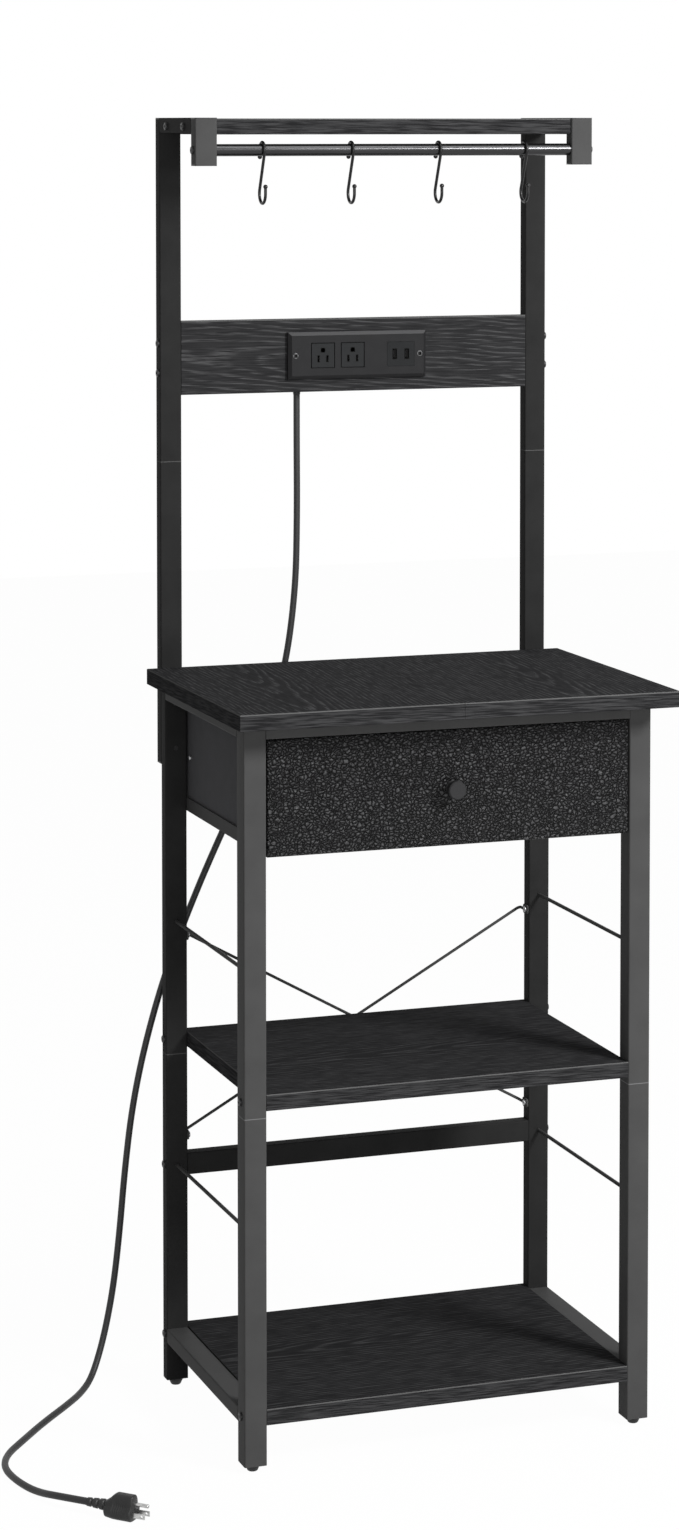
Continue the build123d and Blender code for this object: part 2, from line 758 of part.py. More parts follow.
# Each socket has a round-topped ground hole above two flat slots
slot_wide = 2.4
slot_tall = 8.0
ground_radius = 2.9
slot_deep = 18.0
slot_centre_drop = 4.5
with BuildPart() as socket_inserts:
    with BuildSketch(front_plane):
        for place in socket_places:
            with Locations((place, 0)):
                RectangleRounded(socket_wide, socket_high, 0.8)
    extrude(amount=-socket_deep)
    with BuildSketch(front_plane):
        for place in socket_places:
            for slot_side in (-1, 1):
                with Locations((place + slot_side * blade_spacing / 2, -slot_centre_drop)):
                    Rectangle(slot_wide, slot_tall)
            with Locations((place, ground_rise - slot_centre_drop)):
                Circle(ground_radius)
            with Locations((place, ground_rise - slot_centre_drop - ground_radius / 2)):
                Rectangle(2 * ground_radius, ground_radius)
    extrude(amount=-slot_deep, mode=Mode.SUBTRACT)
save(socket_inserts.part, "socket_inserts")

# The charging module: two upright ports, each with its contact tongue
tongue = 2.0
with BuildPart() as charging_module:
    with BuildSketch(front_plane):
        with Locations((charger_offset, 0)):
            RectangleRounded(charger_width - 2 * insert_gap, charger_tall - 2 * insert_gap, 1.0)
    extrude(amount=-socket_deep)
    with BuildSketch(front_plane):
        for port_side in (-1, 1):
            with Locations((charger_offset + port_side * port_spacing / 2, 0)):
                Rectangle(port_width, port_tall)
    extrude(amount=-port_deep, mode=Mode.SUBTRACT)
    with BuildSketch(front_plane.offset(-1.5)):
        for port_side in (-1, 1):
            with Locations((charger_offset + port_side * port_spacing / 2 + port_width / 2 - tongue / 2 - 0.6, 0)):
                Rectangle(tongue, port_tall - 1.6)
    extrude(amount=-(port_deep - 1.0))
save(charging_module.part, "charging_module")

with BuildPart() as outlet_housing:
    with BuildSketch(Plane(origin=(0, post_front, panel_centre), x_dir=(1, 0, 0), z_dir=(0, -1, 0))):
        RectangleRounded(housing_width, housing_tall, 3.0)
    extrude(amount=-housing_deep)
    with BuildSketch(Plane(origin=(0, post_front, panel_centre), x_dir=(1, 0, 0), z_dir=(0, -1, 0))):
        RectangleRounded(housing_width - 2 * housing_wall, housing_tall - 2 * housing_wall, 1.5)
    extrude(amount=-(housing_deep - housing_wall), mode=Mode.SUBTRACT)
    fillet(outlet_housing.faces().sort_by(Axis.Y)[-1].edges(), 1.5)
save(outlet_housing.part, "outlet_housing")

plate_head_seat = plate_front + screw_head_tall
plate_seats = [
    Plane(origin=(sign * plate_screw_pitch / 2, plate_head_seat, panel_centre), z_dir=(0, -1, 0))
    for side, sign in sides
]
plate_screw = fastener(
    screw_head,
    screw_head_tall,
    screw_diameter - bolt_clear,
    post_front - plate_head_seat + plate_screw_length - 1.0,
    0.5,
)
save(placed(plate_screw, plate_seats), "faceplate_screws")

# ---------------------------------------------------------------- mains cord

# The strain relief hangs from the underside of the housing, behind the panel
with BuildPart() as cord_strain_relief:
    with BuildSketch(Plane(origin=(relief_x, relief_y, 0), x_dir=(1, 0, 0), z_dir=(0, -1, 0))):
        with BuildLine():
            Polyline(
                (0, housing_low),
                (relief_top / 2, housing_low),
                (relief_top / 2, housing_low - 4.0),
                (relief_top / 2 - 0.6, housing_low - 5.0),
                (cord_diameter / 2 + 0.4, relief_bottom + 1.0),
                (cord_diameter / 2, relief_bottom),
                (0, relief_bottom),
                close=True,
            )
        make_face()
    revolve(axis=Axis((relief_x, relief_y, 0), (0, 0, 1)))
save(cord_strain_relief.part, "cord_strain_relief")

# The plug lies on the floor, its blades pointing towards the stand
floor_lie = cord_diameter / 2 + 0.5
plug_aim = Vector(60.0, -59.0, 0).normalized()
plug_start = Vector(-502.0, -230.0, plug_tall / 2 + 0.5)
cord_end_run = plug_start - plug_aim * 38.0
cord_route = [
    (relief_x, relief_y, relief_bottom),
    (-79.0, relief_y, 1285.0),
    (-78.0, 219.0, 1185.0),
    (-80.0, 220.0, 1078.0),
    (-96.0, 221.0, 965.0),
    (-132.0, 221.5, 857.0),
    (-183.0, 222.0, 757.0),
    (-228.0, 222.5, 660.0),
    (-267.0, 223.5, 562.0),
    (-295.0, 225.0, 468.0),
    (-314.0, 226.0, 380.0),
    (-325.0, 227.0, 290.0),
    (-332.0, 228.5, 207.0),
    (-340.0, 230.0, 135.0),
    (-350.0, 231.0, 80.0),
    (-362.0, 226.0, 40.0),
    (-379.0, 208.0, 12.0),
    (-401.0, 178.0, floor_lie),
    (-430.0, 140.0, floor_lie),
    (-477.5, 84.0, floor_lie),
    (-522.0, 25.0, floor_lie),
    (-553.0, -17.0, floor_lie),
    (-567.0, -60.0, floor_lie),
    (-563.0, -108.0, floor_lie),
    (-549.0, -154.0, floor_lie),
    tuple(cord_end_run),
    tuple(plug_start),
]
cord_points = [Vector(*point) for point in cord_route]
cord_runs = [after - before for before, after in zip(cord_points, cord_points[1:])]
cord_radii = []
for before, after in zip(cord_runs, cord_runs[1:]):
    half_turn = math.radians(before.get_angle(after)) / 2
    shorter_run = min(before.length, after.length)
    cord_radii.append(cord_bend_share * shorter_run / math.tan(half_turn))

with BuildPart() as power_cord:
    with BuildLine() as cord_path:
        FilletPolyline(*cord_route, radius=cord_radii)
    with BuildSketch(Plane(origin=cord_path.line @ 0, z_dir=cord_path.line % 0)):
        Circle(cord_diameter / 2)
    sweep()
save(power_cord.part, "power_cord")

cord_length = cord_path.wire().length
cord_volume = math.pi * (cord_diameter / 2) ** 2 * cord_length
print("cord length", round(cord_length, 1))
print("cord radii", [round(radius) for radius in cord_radii])
print("cord volume over section times length", round(power_cord.part.volume / cord_volume, 4))

plug_side = Vector(0, 0, 1).cross(plug_aim)
boot_small = cord_diameter / 2 + 0.8
boot_large = cord_diameter / 2 + 3.0
boot_ribs = 5
boot_groove = 0.9


def plug_plane(distance):
    """A plane across the plug, at a distance along it from the end of the cord."""
    return Plane(origin=plug_start + plug_aim * distance, x_dir=plug_side, z_dir=plug_aim)


with BuildPart() as plug_body:
    for rib in range(boot_ribs):
        rib_start = boot_length * rib / boot_ribs
        rib_radius = boot_small + (boot_large - boot_small) * (rib + 1) / boot_ribs
        with BuildSketch(plug_plane(rib_start)):
            Circle(rib_radius)
        extrude(amount=boot_length / boot_ribs * 0.6)
        with BuildSketch(plug_plane(rib_start)):
            Circle(rib_radius - boot_groove)
        extrude(amount=boot_length / boot_ribs)
    with BuildSketch(plug_plane(boot_length)):
        RectangleRounded(plug_small, plug_small, 4.0)
    with BuildSketch(plug_plane(boot_length + plug_length * 0.55)):
        RectangleRounded(plug_wide, plug_tall, 6.0)
    loft()
    with BuildSketch(plug_plane(boot_length + plug_length * 0.55)):
        RectangleRounded(plug_wide, plug_tall, 6.0)
    extrude(amount=plug_length * 0.45)
    chamfer(plug_body.faces().sort_by(Axis(tuple(plug_start), tuple(plug_aim)))[-1].edges(), 1.2)
save(plug_body.part, "plug_body")

pin_start = boot_length + plug_length
with BuildPart() as plug_blades:
    with BuildSketch(plug_plane(pin_start)):
        for blade_side in (-1, 1):
            with Locations((blade_side * blade_spacing / 2, -slot_centre_drop)):
                Rectangle(blade_thick, blade_tall)
    extrude(amount=blade_length)
    hole_centre = plug_plane(pin_start + blade_length - blade_tall / 2 - 1.0).origin
    with Locations(Plane(origin=hole_centre - Vector(0, 0, slot_centre_drop), z_dir=plug_side)):
        Hole(blade_hole / 2)
    with BuildSketch(plug_plane(pin_start)):
        with Locations((0, ground_rise - slot_centre_drop)):
            Circle(ground_pin_diameter / 2)
    extrude(amount=ground_pin_length)
    fillet(plug_blades.faces().sort_by(Axis(tuple(plug_start), tuple(plug_aim)))[-1].edges(), 1.4)
save(plug_blades.part, "plug_blades")

# ---------------------------------------------------------------- drawer

# Angle runners on the insides of the legs, with a turned-up stop at the back
runner_low = drawer_box_low - runner_gap - runner_sheet
runner_front = drawer_front_back + 3.0
stop_front = drawer_back_face + runner_gap
stop_back = stop_front + runner_sheet
stop_tall = 8.0
runner_strips = (
    (runner_sheet, runner_front, leg_back - 4.0, runner_tall),
    (runner_wide, runner_front, stop_back, runner_sheet),
    (runner_wide, stop_front, stop_back, stop_tall),
)
with BuildPart() as drawer_runners:
    for side, sign in sides:
        for inward, front, back, tall in runner_strips:
            with BuildSketch(Plane.XY.offset(runner_low)):
                with Locations((sign * (leg_inner - inward / 2), (front + back) / 2)):
                    Rectangle(inward, back - front)
            extrude(amount=tall)
save(drawer_runners.part, "drawer_runners")

# Screws in the drawer's sides that meet the front legs when it is pulled right out
stop_seats = [
    Plane(
        origin=(sign * drawer_side_x, drawer_back_face - stop_screw_inset, drawer_low + stop_screw_height),
        z_dir=(sign, 0, 0),
    )
    for side, sign in sides
]

with BuildPart() as drawer_front:
    with BuildSketch(Plane(origin=(0, leg_front, knob_z), x_dir=(1, 0, 0), z_dir=(0, -1, 0))):
        Rectangle(inner_width - 2 * drawer_gap, drawer_tall)
    extrude(amount=-drawer_front_thick)
    fillet(drawer_front.edges().group_by(Axis.Y)[0], 2.5)
    with Locations(Plane(origin=(0, leg_front, knob_z), z_dir=(0, -1, 0))):
        Hole(screw_hole)
save(drawer_front.part, "drawer_front")

drawer_box_inner = drawer_side_x - drawer_panel
with BuildPart() as drawer_sides:
    for side, sign in sides:
        with BuildSketch(Plane.XY.offset(drawer_box_low)):
            with Locations((sign * (drawer_side_x - drawer_panel / 2), (drawer_front_back + drawer_back_face) / 2)):
                Rectangle(drawer_panel, drawer_back_face - drawer_front_back)
        extrude(amount=drawer_box_top - drawer_box_low)
    fillet(drawer_sides.edges().group_by(Axis.Z)[-1].filter_by(Axis.Y), drawer_panel / 2 - 0.5)
    with Locations(*stop_seats):
        Hole(stop_shank / 2 + bolt_clear / 2, depth=drawer_panel)
save(drawer_sides.part, "drawer_sides")

with BuildPart() as drawer_back:
    with BuildSketch(Plane.XY.offset(drawer_box_low)):
        with Locations((0, drawer_back_face - drawer_panel / 2)):
            Rectangle(2 * drawer_box_inner, drawer_panel)
    extrude(amount=drawer_box_top - drawer_box_low)
    fillet(drawer_back.edges().group_by(Axis.Z)[-1].filter_by(Axis.X), drawer_panel / 2 - 0.5)
save(drawer_back.part, "drawer_back")

with BuildPart() as drawer_bottom:
    with BuildSketch(Plane.XY.offset(drawer_box_low)):
        with Locations((0, (drawer_front_back + drawer_back_face - drawer_panel) / 2)):
            Rectangle(2 * drawer_box_inner, drawer_back_face - drawer_panel - drawer_front_back)
    extrude(amount=drawer_panel)
save(drawer_bottom.part, "drawer_bottom")

knob_screw_depth = 12.0
with BuildPart() as drawer_knob:
    with BuildSketch(Plane(origin=(0, leg_front, knob_z), x_dir=(1, 0, 0), z_dir=(0, 0, 1))):
        with BuildLine():
            Polyline((0, 0), (8.0, 0), (8.0, -1.6), (knob_neck / 2, -4.0), (knob_neck / 2, -10.0))
            ThreePointArc((knob_neck / 2, -10.0), (knob_neck / 2 + 2.0, -13.4), (knob_diameter / 2, -15.0))
            Polyline(
                (knob_diameter / 2, -15.0),
                (knob_diameter / 2, 1.5 - knob_reach),
                (knob_diameter / 2 - 1.5, -knob_reach),
                (0, -knob_reach),
                (0, 0),
            )
        make_face()
    revolve(axis=Axis((0, leg_front, knob_z), (0, 1, 0)))
    with Locations(Plane(origin=(0, leg_front, knob_z), z_dir=(0, -1, 0))):
        Hole(screw_diameter / 2 + bolt_clear / 2, depth=knob_screw_depth)
save(drawer_knob.part, "drawer_knob")

knob_seat = Plane(origin=(0, drawer_front_back, knob_z), z_dir=(0, 1, 0))
knob_screw = fastener(
    screw_head, screw_head_tall, screw_diameter, drawer_front_thick + knob_screw_depth - 1.0, 0.8
)
stop_screw = fastener(stop_head, stop_head_tall, stop_shank, drawer_panel - 1.0, 1.8)
with BuildPart() as drawer_screws:
    add(placed(knob_screw, [knob_seat]))
    add(placed(stop_screw, stop_seats))
save(drawer_screws.part, "drawer_screws")

# ---------------------------------------------------------------- bolts and screws

side_seats = [
    Plane(origin=(sign * frame_width / 2, y, z), z_dir=(sign, 0, 0))
    for side, sign in sides
    for y, z in side_bolt_seats
]
post_seats = [
    Plane(origin=(sign * leg_x, post_back, z), z_dir=(0, 1, 0))
    for side, sign in sides
    for z in post_bolt_heights
]
side_bolt = fastener(bolt_head, bolt_head_tall, bolt_diameter, tube_face + bolt_reach, 1.4)
post_bolt = fastener(bolt_head, bolt_head_tall, bolt_diameter, post_deep + slim_deep, 1.4)
with BuildPart() as frame_bolts:
    add(placed(side_bolt, side_seats))
    add(placed(post_bolt, post_seats))
save(frame_bolts.part, "frame_bolts")

brace_seats = [
    Plane(origin=(sign * brace_tab_inner, brace_screw_y, z), z_dir=(-sign, 0, 0))
    for side, sign in sides
    for z in (brace_low, brace_high)
]
brace_screw = fastener(screw_head, screw_head_tall, screw_diameter, brace_tab + 8.0, 0.8)
save(placed(brace_screw, brace_seats), "brace_screws")

table_seats = [Plane(origin=(x, y, top_rail_low), z_dir=(0, 0, -1)) for x, y in table_screw_seats]
table_screw = fastener(screw_head, screw_head_tall, screw_diameter, slim_deep + table_screw_depth - 1.0, 0.8)
save(placed(table_screw, table_seats), "tabletop_screws")
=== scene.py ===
"""Microwave stand with a drawer, a hutch with a socket strip and a hook rail: the dressed model.

Metres, +Z up, origin on the floor under the middle of the stand, X to the right and Y to the back.
Sizes of patterns are given in millimetres, as a maker would read them off the real surface.
"""

import logging
import math
from dataclasses import dataclass, field
from enum import Enum
from typing import Iterable, Sequence

import bmesh
import bpy
from mathutils import Matrix, Vector


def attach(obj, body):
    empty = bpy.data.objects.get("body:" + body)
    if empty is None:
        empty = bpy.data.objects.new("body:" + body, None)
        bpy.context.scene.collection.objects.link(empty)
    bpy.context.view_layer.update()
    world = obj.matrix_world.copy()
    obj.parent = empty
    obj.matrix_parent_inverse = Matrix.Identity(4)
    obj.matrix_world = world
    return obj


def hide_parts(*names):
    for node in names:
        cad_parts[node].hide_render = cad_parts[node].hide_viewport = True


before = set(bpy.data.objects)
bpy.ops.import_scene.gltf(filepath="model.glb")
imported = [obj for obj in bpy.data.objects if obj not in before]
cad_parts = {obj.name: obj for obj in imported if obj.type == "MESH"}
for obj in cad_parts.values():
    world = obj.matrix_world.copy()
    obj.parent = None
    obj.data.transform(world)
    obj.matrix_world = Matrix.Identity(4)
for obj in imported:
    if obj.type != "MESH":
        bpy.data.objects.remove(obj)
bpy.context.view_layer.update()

log = logging.getLogger("stand")
MM = 0.001
ONE_WAVE = 2 * math.pi / 20  # scale at which a Wave texture has one wave in each unit
SHADED = "#030303"  # the inside of a slot, out of the light
SIDES = ("left", "right")
HALVES = ("lower", "upper")
Point = tuple[float, float, float]
Sizes = dict[str, tuple[str, float | int | Point]]

# Sockets of a Mix node go by number, because those for numbers, vectors and colours share names.
NUMBER_A, NUMBER_B, VECTOR_A, VECTOR_B, COLOUR_A, COLOUR_B = range(2, 8)
NUMBER_OUT, VECTOR_OUT, COLOUR_OUT = range(3)


class Slot(Enum):
    """The record's material slots."""

    STEEL = "black_steel"
    LAMINATE = "black_laminate"
    LEATHERETTE = "black_leatherette"
    CLOTH = "dark_cloth"
    PLASTIC = "black_plastic"
    SOCKET = "socket_plastic"
    WIRE = "dark_wire"
    ZINC = "zinc_steel"
    BEECH = "beech"
    CORD = "cord_pvc"
    BRASS = "nickel_brass"


class Body(Enum):
    """The bodies that pieces made here ride on."""

    FRAME = "frame"
    FOOT_FRONT_LEFT = "foot_front_left"
    FOOT_FRONT_RIGHT = "foot_front_right"
    FOOT_REAR_LEFT = "foot_rear_left"
    FOOT_REAR_RIGHT = "foot_rear_right"


# ---------------------------------------------------------------- small tools


def linear(colour: str) -> tuple[float, float, float, float]:
    """Turn a colour as it is picked from a screen into the one that a shader takes.

    Args:
        colour: sRGB hex value, such as "#36383b".

    Returns:
        Linear red, green, blue, and 1 for alpha.
    """
    parts = [int(colour[i : i + 2], 16) / 255 for i in (1, 3, 5)]
    red, green, blue = (p / 12.92 if p <= 0.04045 else ((p + 0.055) / 1.055) ** 2.4 for p in parts)
    return red, green, blue, 1.0


def add_node(
    tree: bpy.types.NodeTree,
    kind: str,
    settings: dict | None = None,
    inputs: dict | None = None,
    stops: Sequence[tuple[float, str]] = (),
) -> bpy.types.Node:
    """Add one node with its settings, values and links.

    Args:
        tree: the tree that it goes into.
        kind: the node's type name.
        settings: properties of the node, by name.
        inputs: by name or number, a value, or an output to link from.
        stops: places and hex colours, for a colour ramp.

    Returns:
        The node.
    """
    node = tree.nodes.new(kind)
    for name, value in (settings or {}).items():
        setattr(node, name, value)
    for name, value in (inputs or {}).items():
        if isinstance(value, bpy.types.NodeSocket):
            tree.links.new(value, node.inputs[name])
        else:
            node.inputs[name].default_value = value
    if stops:
        ramp = node.color_ramp
        while len(ramp.elements) < len(stops):
            ramp.elements.new(0.5)
        for element, (place, colour) in zip(ramp.elements, stops):
            element.position, element.color = place, linear(colour)
    return node


# ---------------------------------------------------------------- finishes


@dataclass(frozen=True)
class PaintedShadeBox:
    """A box, in millimetres, in which a surface is painted near black as shade: inside a slot and on its rim.

    Each fold repeats the box at that distance to both sides of its place along X.
    """

    centre: Point
    half: Point
    folds: tuple[float, ...] = ()


@dataclass(frozen=True)
class Finish:
    """What every finish has. Subclasses draw their own pattern over it, with sizes in millimetres."""

    name: str
    slot: Slot
    colour: str
    roughness: float
    metallic: float = 0.0
    specular: float = 0.5
    # boxes in which shade is painted near black, in slots and recesses
    painted_shade_boxes: tuple[PaintedShadeBox, ...] = ()

    def material(self) -> bpy.types.Material:
        """The Blender material for this finish, made once.

        Returns:
            The material.
        """
        made = bpy.data.materials.get(self.name)
        if made:
            return made
        made = bpy.data.materials.new(self.name)
        made.use_nodes = True
        tree = made.node_tree
        shader = tree.nodes["Principled BSDF"]
        shader.inputs["Base Color"].default_value = linear(self.colour)
        shader.inputs["Roughness"].default_value = self.roughness
        shader.inputs["Metallic"].default_value = self.metallic
        shader.inputs["Specular IOR Level"].default_value = self.specular
        made.diffuse_color = linear(self.colour)
        place = add_node(tree, "ShaderNodeTexCoord")
        mm = add_node(
            tree, "ShaderNodeVectorMath", {"operation": "SCALE"}, {0: place.outputs["Object"], "Scale": 1 / MM}
        ).outputs[0]
        self.draw(tree, mm, shader)
        for hollow in self.painted_shade_boxes:
            self.paint_shade(hollow, tree, mm, shader)
        return made

    def draw(self, tree: bpy.types.NodeTree, mm: bpy.types.NodeSocket, shader: bpy.types.Node) -> None:
        """Link the pattern to the shader; a plain finish has none."""

    def paint_shade(
        self, hollow: PaintedShadeBox, tree: bpy.types.NodeTree, mm: bpy.types.NodeSocket, shader: bpy.types.Node
    ) -> None:
        """Paint shade: turn the surface near black inside a hollow, and leave the rest as drawn.

        Args:
            hollow: where the shade is painted.
            tree: the material's tree.
            mm: the place on the piece, in millimetres.
            shader: what the colour is linked to.
        """
        offset = add_node(tree, "ShaderNodeVectorMath", {"operation": "SUBTRACT"}, {0: mm, 1: hollow.centre})
        axes = add_node(tree, "ShaderNodeSeparateXYZ", None, {0: offset.outputs[0]}).outputs
        across = axes["X"]
        for fold in hollow.folds:
            across = add_node(tree, "ShaderNodeMath", {"operation": "ABSOLUTE"}, {0: across}).outputs[0]
            across = add_node(
                tree, "ShaderNodeMath", {"operation": "SUBTRACT"}, {0: across, 1: fold}
            ).outputs[0]
        inside = None
        for axis, half in zip((across, axes["Y"], axes["Z"]), hollow.half):
            near = add_node(
                tree, "ShaderNodeMath", {"operation": "COMPARE"}, {0: axis, 1: 0.0, 2: half}
            ).outputs[0]
            inside = near if inside is None else add_node(
                tree, "ShaderNodeMath", {"operation": "MULTIPLY"}, {0: inside, 1: near}
            ).outputs[0]
        # Painted shade: inside the box the colour drawn so far gives way to near black.
        colour = shader.inputs["Base Color"].links[0].from_socket
        dark = add_node(
            tree, "ShaderNodeMix", {"data_type": "RGBA"},
            {0: inside, COLOUR_A: colour, COLOUR_B: linear(SHADED)},
        )
        tree.links.new(dark.outputs[COLOUR_OUT], shader.inputs["Base Color"])


@dataclass(frozen=True)
class PowderCoat(Finish):
    """Satin black powder coat baked on steel tube.

    Under a lamp it has a soft sheen over a faint orange peel, small lighter and darker patches,
    and a thin pale line painted where two tubes meet, as a painted highlight along the joint.
    """

    peel: float = 2.4
    peel_depth: float = 0.2
    patch: float = 55.0
    lighter: str = "#454545"
    glossier: float = 0.05
    duller: float = 0.07
    seams: tuple[float, ...] = ()  # their heights
    seam_half: float = 0.5
    # colour of the painted highlight at each seam
    seam_highlight: str = "#6c6c6d"

    def draw(self, tree: bpy.types.NodeTree, mm: bpy.types.NodeSocket, shader: bpy.types.Node) -> None:
        """Orange peel for the bump, patches for the colour, and a painted highlight at each seam.

        Args:
            tree: the material's tree.
            mm: the place on the piece, in millimetres.
            shader: what the pattern is linked to.
        """
        peel = add_node(
            tree, "ShaderNodeTexNoise", None, {"Vector": mm, "Scale": 1 / self.peel, "Detail": 2.0}
        ).outputs["Fac"]
        bump = add_node(
            tree, "ShaderNodeBump", None, {"Strength": 0.16, "Distance": self.peel_depth * MM, "Height": peel}
        )
        tree.links.new(bump.outputs[0], shader.inputs["Normal"])
        patches = add_node(
            tree, "ShaderNodeTexNoise", None,
            {"Vector": mm, "Scale": 1 / self.patch, "Detail": 5.0, "Roughness": 0.6},
        ).outputs["Fac"]
        colour = add_node(
            tree, "ShaderNodeValToRGB", None, {"Fac": patches}, [(0.3, self.colour), (0.72, self.lighter)]
        ).outputs["Color"]
        height = add_node(tree, "ShaderNodeSeparateXYZ", None, {0: mm}).outputs["Z"]
        # Painted highlight: a thin pale band at each seam's height.
        for seam in self.seams:
            near = add_node(
                tree, "ShaderNodeMath", {"operation": "COMPARE"}, {0: height, 1: seam, 2: self.seam_half}
            ).outputs[0]
            colour = add_node(
                tree, "ShaderNodeMix", {"data_type": "RGBA"},
                {0: near, COLOUR_A: colour, COLOUR_B: linear(self.seam_highlight)},
            ).outputs[COLOUR_OUT]
        tree.links.new(colour, shader.inputs["Base Color"])
        gloss = add_node(
            tree, "ShaderNodeMapRange", None,
            {"Value": patches, "To Min": self.roughness - self.glossier,
             "To Max": self.roughness + self.duller},
        )
        tree.links.new(gloss.outputs[0], shader.inputs["Roughness"])


@dataclass(frozen=True)
class Laminate(Finish):
    """Black wood-grain laminate pressed on particle board.

    The printed figure is long pale growth rings that close into arches, broken by short pores,
    and the rounded banding along an upper edge is painted paler as a thin line, a painted highlight.
    Sizes are in millimetres.
    """

    heart: Point = (0.0, 0.0, 0.0)
    lean: float = 0.06  # of the log's axis through the board, in radians
    side_lean: float = 0.7  # its lean sideways, as a share of that
    arch: float = 3.4  # how much longer than wide an arch is
    ring: float = 6.0
    ring_bend: float = 46.0
    streak: str = "#454546"
    pore: float = 1.3
    pore_length: float = 34.0
    pore_shade: float = 0.22
    depth: float = 0.25
    edge_top: float = 0.0
    edge_tall: float = 1.4
    # colour of the painted highlight along the top edge
    edge_highlight: str = "#565656"
    front_to_back: bool = False
    banded: bool = False
    banding_shade: float = 0.4  # even share of the streaks' colour on banding
    sideways: float = 0.6  # how far a face turns along an axis to count as facing it
    level: float = 0.9

    def draw(self, tree: bpy.types.NodeTree, mm: bpy.types.NodeSocket, shader: bpy.types.Node) -> None:
        """Growth rings about an axis that leans through the board, pores along it, and a painted highlight
        along the top edge.

        The figure runs along the board, or front to back, and the banding's runs along each edge.

        Args:
            tree: the material's tree.
            mm: the place on the piece, in millimetres.
            shader: what the pattern is linked to.
        """
        facing = add_node(tree, "ShaderNodeNewGeometry").outputs["Normal"]
        facing = add_node(tree, "ShaderNodeVectorMath", {"operation": "ABSOLUTE"}, {0: facing}).outputs[0]
        ways = add_node(tree, "ShaderNodeSeparateXYZ", None, {0: facing}).outputs
        axis, test = ("Y", "LESS_THAN") if self.front_to_back else ("X", "GREATER_THAN")
        turned = add_node(
            tree, "ShaderNodeMath", {"operation": test}, {0: ways[axis], 1: self.sideways}
        ).outputs[0]
        axes = add_node(tree, "ShaderNodeSeparateXYZ", None, {0: mm}).outputs
        swapped = add_node(
            tree, "ShaderNodeCombineXYZ", None, {"X": axes["Y"], "Y": axes["X"], "Z": axes["Z"]}
        ).outputs[0]
        mm = add_node(
            tree, "ShaderNodeMix", {"data_type": "VECTOR"}, {0: turned, VECTOR_A: mm, VECTOR_B: swapped}
        ).outputs[VECTOR_OUT]
        log_axis = add_node(
            tree, "ShaderNodeMapping", {"vector_type": "TEXTURE"},
            {"Vector": mm, "Location": self.heart, "Rotation": (0.0, self.lean, self.lean * self.side_lean),
             "Scale": (self.arch, 1, 1)},
        ).outputs[0]
        spacing = ONE_WAVE / self.ring
        rings = add_node(
            tree, "ShaderNodeTexWave",
            {"wave_type": "RINGS", "rings_direction": "X", "wave_profile": "SAW"},
            {"Vector": log_axis, "Scale": spacing, "Distortion": 9.0, "Detail": 3.0,
             "Detail Scale": 1 / (self.ring_bend * spacing), "Detail Roughness": 0.45},
        )
        drawn = add_node(
            tree, "ShaderNodeValToRGB", None, {"Fac": rings.outputs["Fac"]},
            [(0.45, "#000000"), (0.82, "#ffffff"), (0.97, "#404040")],
        ).outputs["Color"]
        standing = add_node(
            tree, "ShaderNodeMath", {"operation": "LESS_THAN"}, {0: ways["Z"], 1: self.level}
        ).outputs[0]
        if self.banded:
            drawn = add_node(
                tree, "ShaderNodeMix", None, {0: standing, NUMBER_A: drawn, NUMBER_B: self.banding_shade}
            ).outputs[NUMBER_OUT]
        # The pores lean less than the rings.
        along = add_node(
            tree, "ShaderNodeMapping", {"vector_type": "TEXTURE"},
            {"Vector": mm, "Rotation": (0.0, self.lean / 3, 0.0),
             "Scale": (self.pore_length, self.pore, self.pore)},
        ).outputs[0]
        pores = add_node(tree, "ShaderNodeTexNoise", None, {"Vector": along, "Scale": 1.0, "Detail": 3.0})
        pored = add_node(
            tree, "ShaderNodeValToRGB", None, {"Fac": pores.outputs["Fac"]},
            [(0.4, "#101010"), (0.62, "#ffffff")],
        ).outputs["Color"]
        figure = add_node(tree, "ShaderNodeMath", {"operation": "MULTIPLY"}, {0: drawn, 1: pored}).outputs[0]
        share = add_node(
            tree, "ShaderNodeMath", {"operation": "MULTIPLY_ADD", "use_clamp": True},
            {0: pored, 1: self.pore_shade, 2: figure},
        ).outputs[0]
        colour = add_node(
            tree, "ShaderNodeMix", {"data_type": "RGBA"},
            {0: share, COLOUR_A: linear(self.colour), COLOUR_B: linear(self.streak)},
        ).outputs[COLOUR_OUT]
        # Painted highlight: a thin pale line along the top edge of the faces that stand upright.
        high = add_node(
            tree, "ShaderNodeMath", {"operation": "GREATER_THAN"},
            {0: axes["Z"], 1: self.edge_top - self.edge_tall},
        ).outputs[0]
        edge = add_node(tree, "ShaderNodeMath", {"operation": "MULTIPLY"}, {0: high, 1: standing}).outputs[0]
        colour = add_node(
            tree, "ShaderNodeMix", {"data_type": "RGBA"},
            {0: edge, COLOUR_A: colour, COLOUR_B: linear(self.edge_highlight)},
        ).outputs[COLOUR_OUT]
        tree.links.new(colour, shader.inputs["Base Color"])
        bump = add_node(
            tree, "ShaderNodeBump", None, {"Strength": 0.3, "Distance": self.depth * MM, "Height": share}
        )
        tree.links.new(bump.outputs[0], shader.inputs["Normal"])


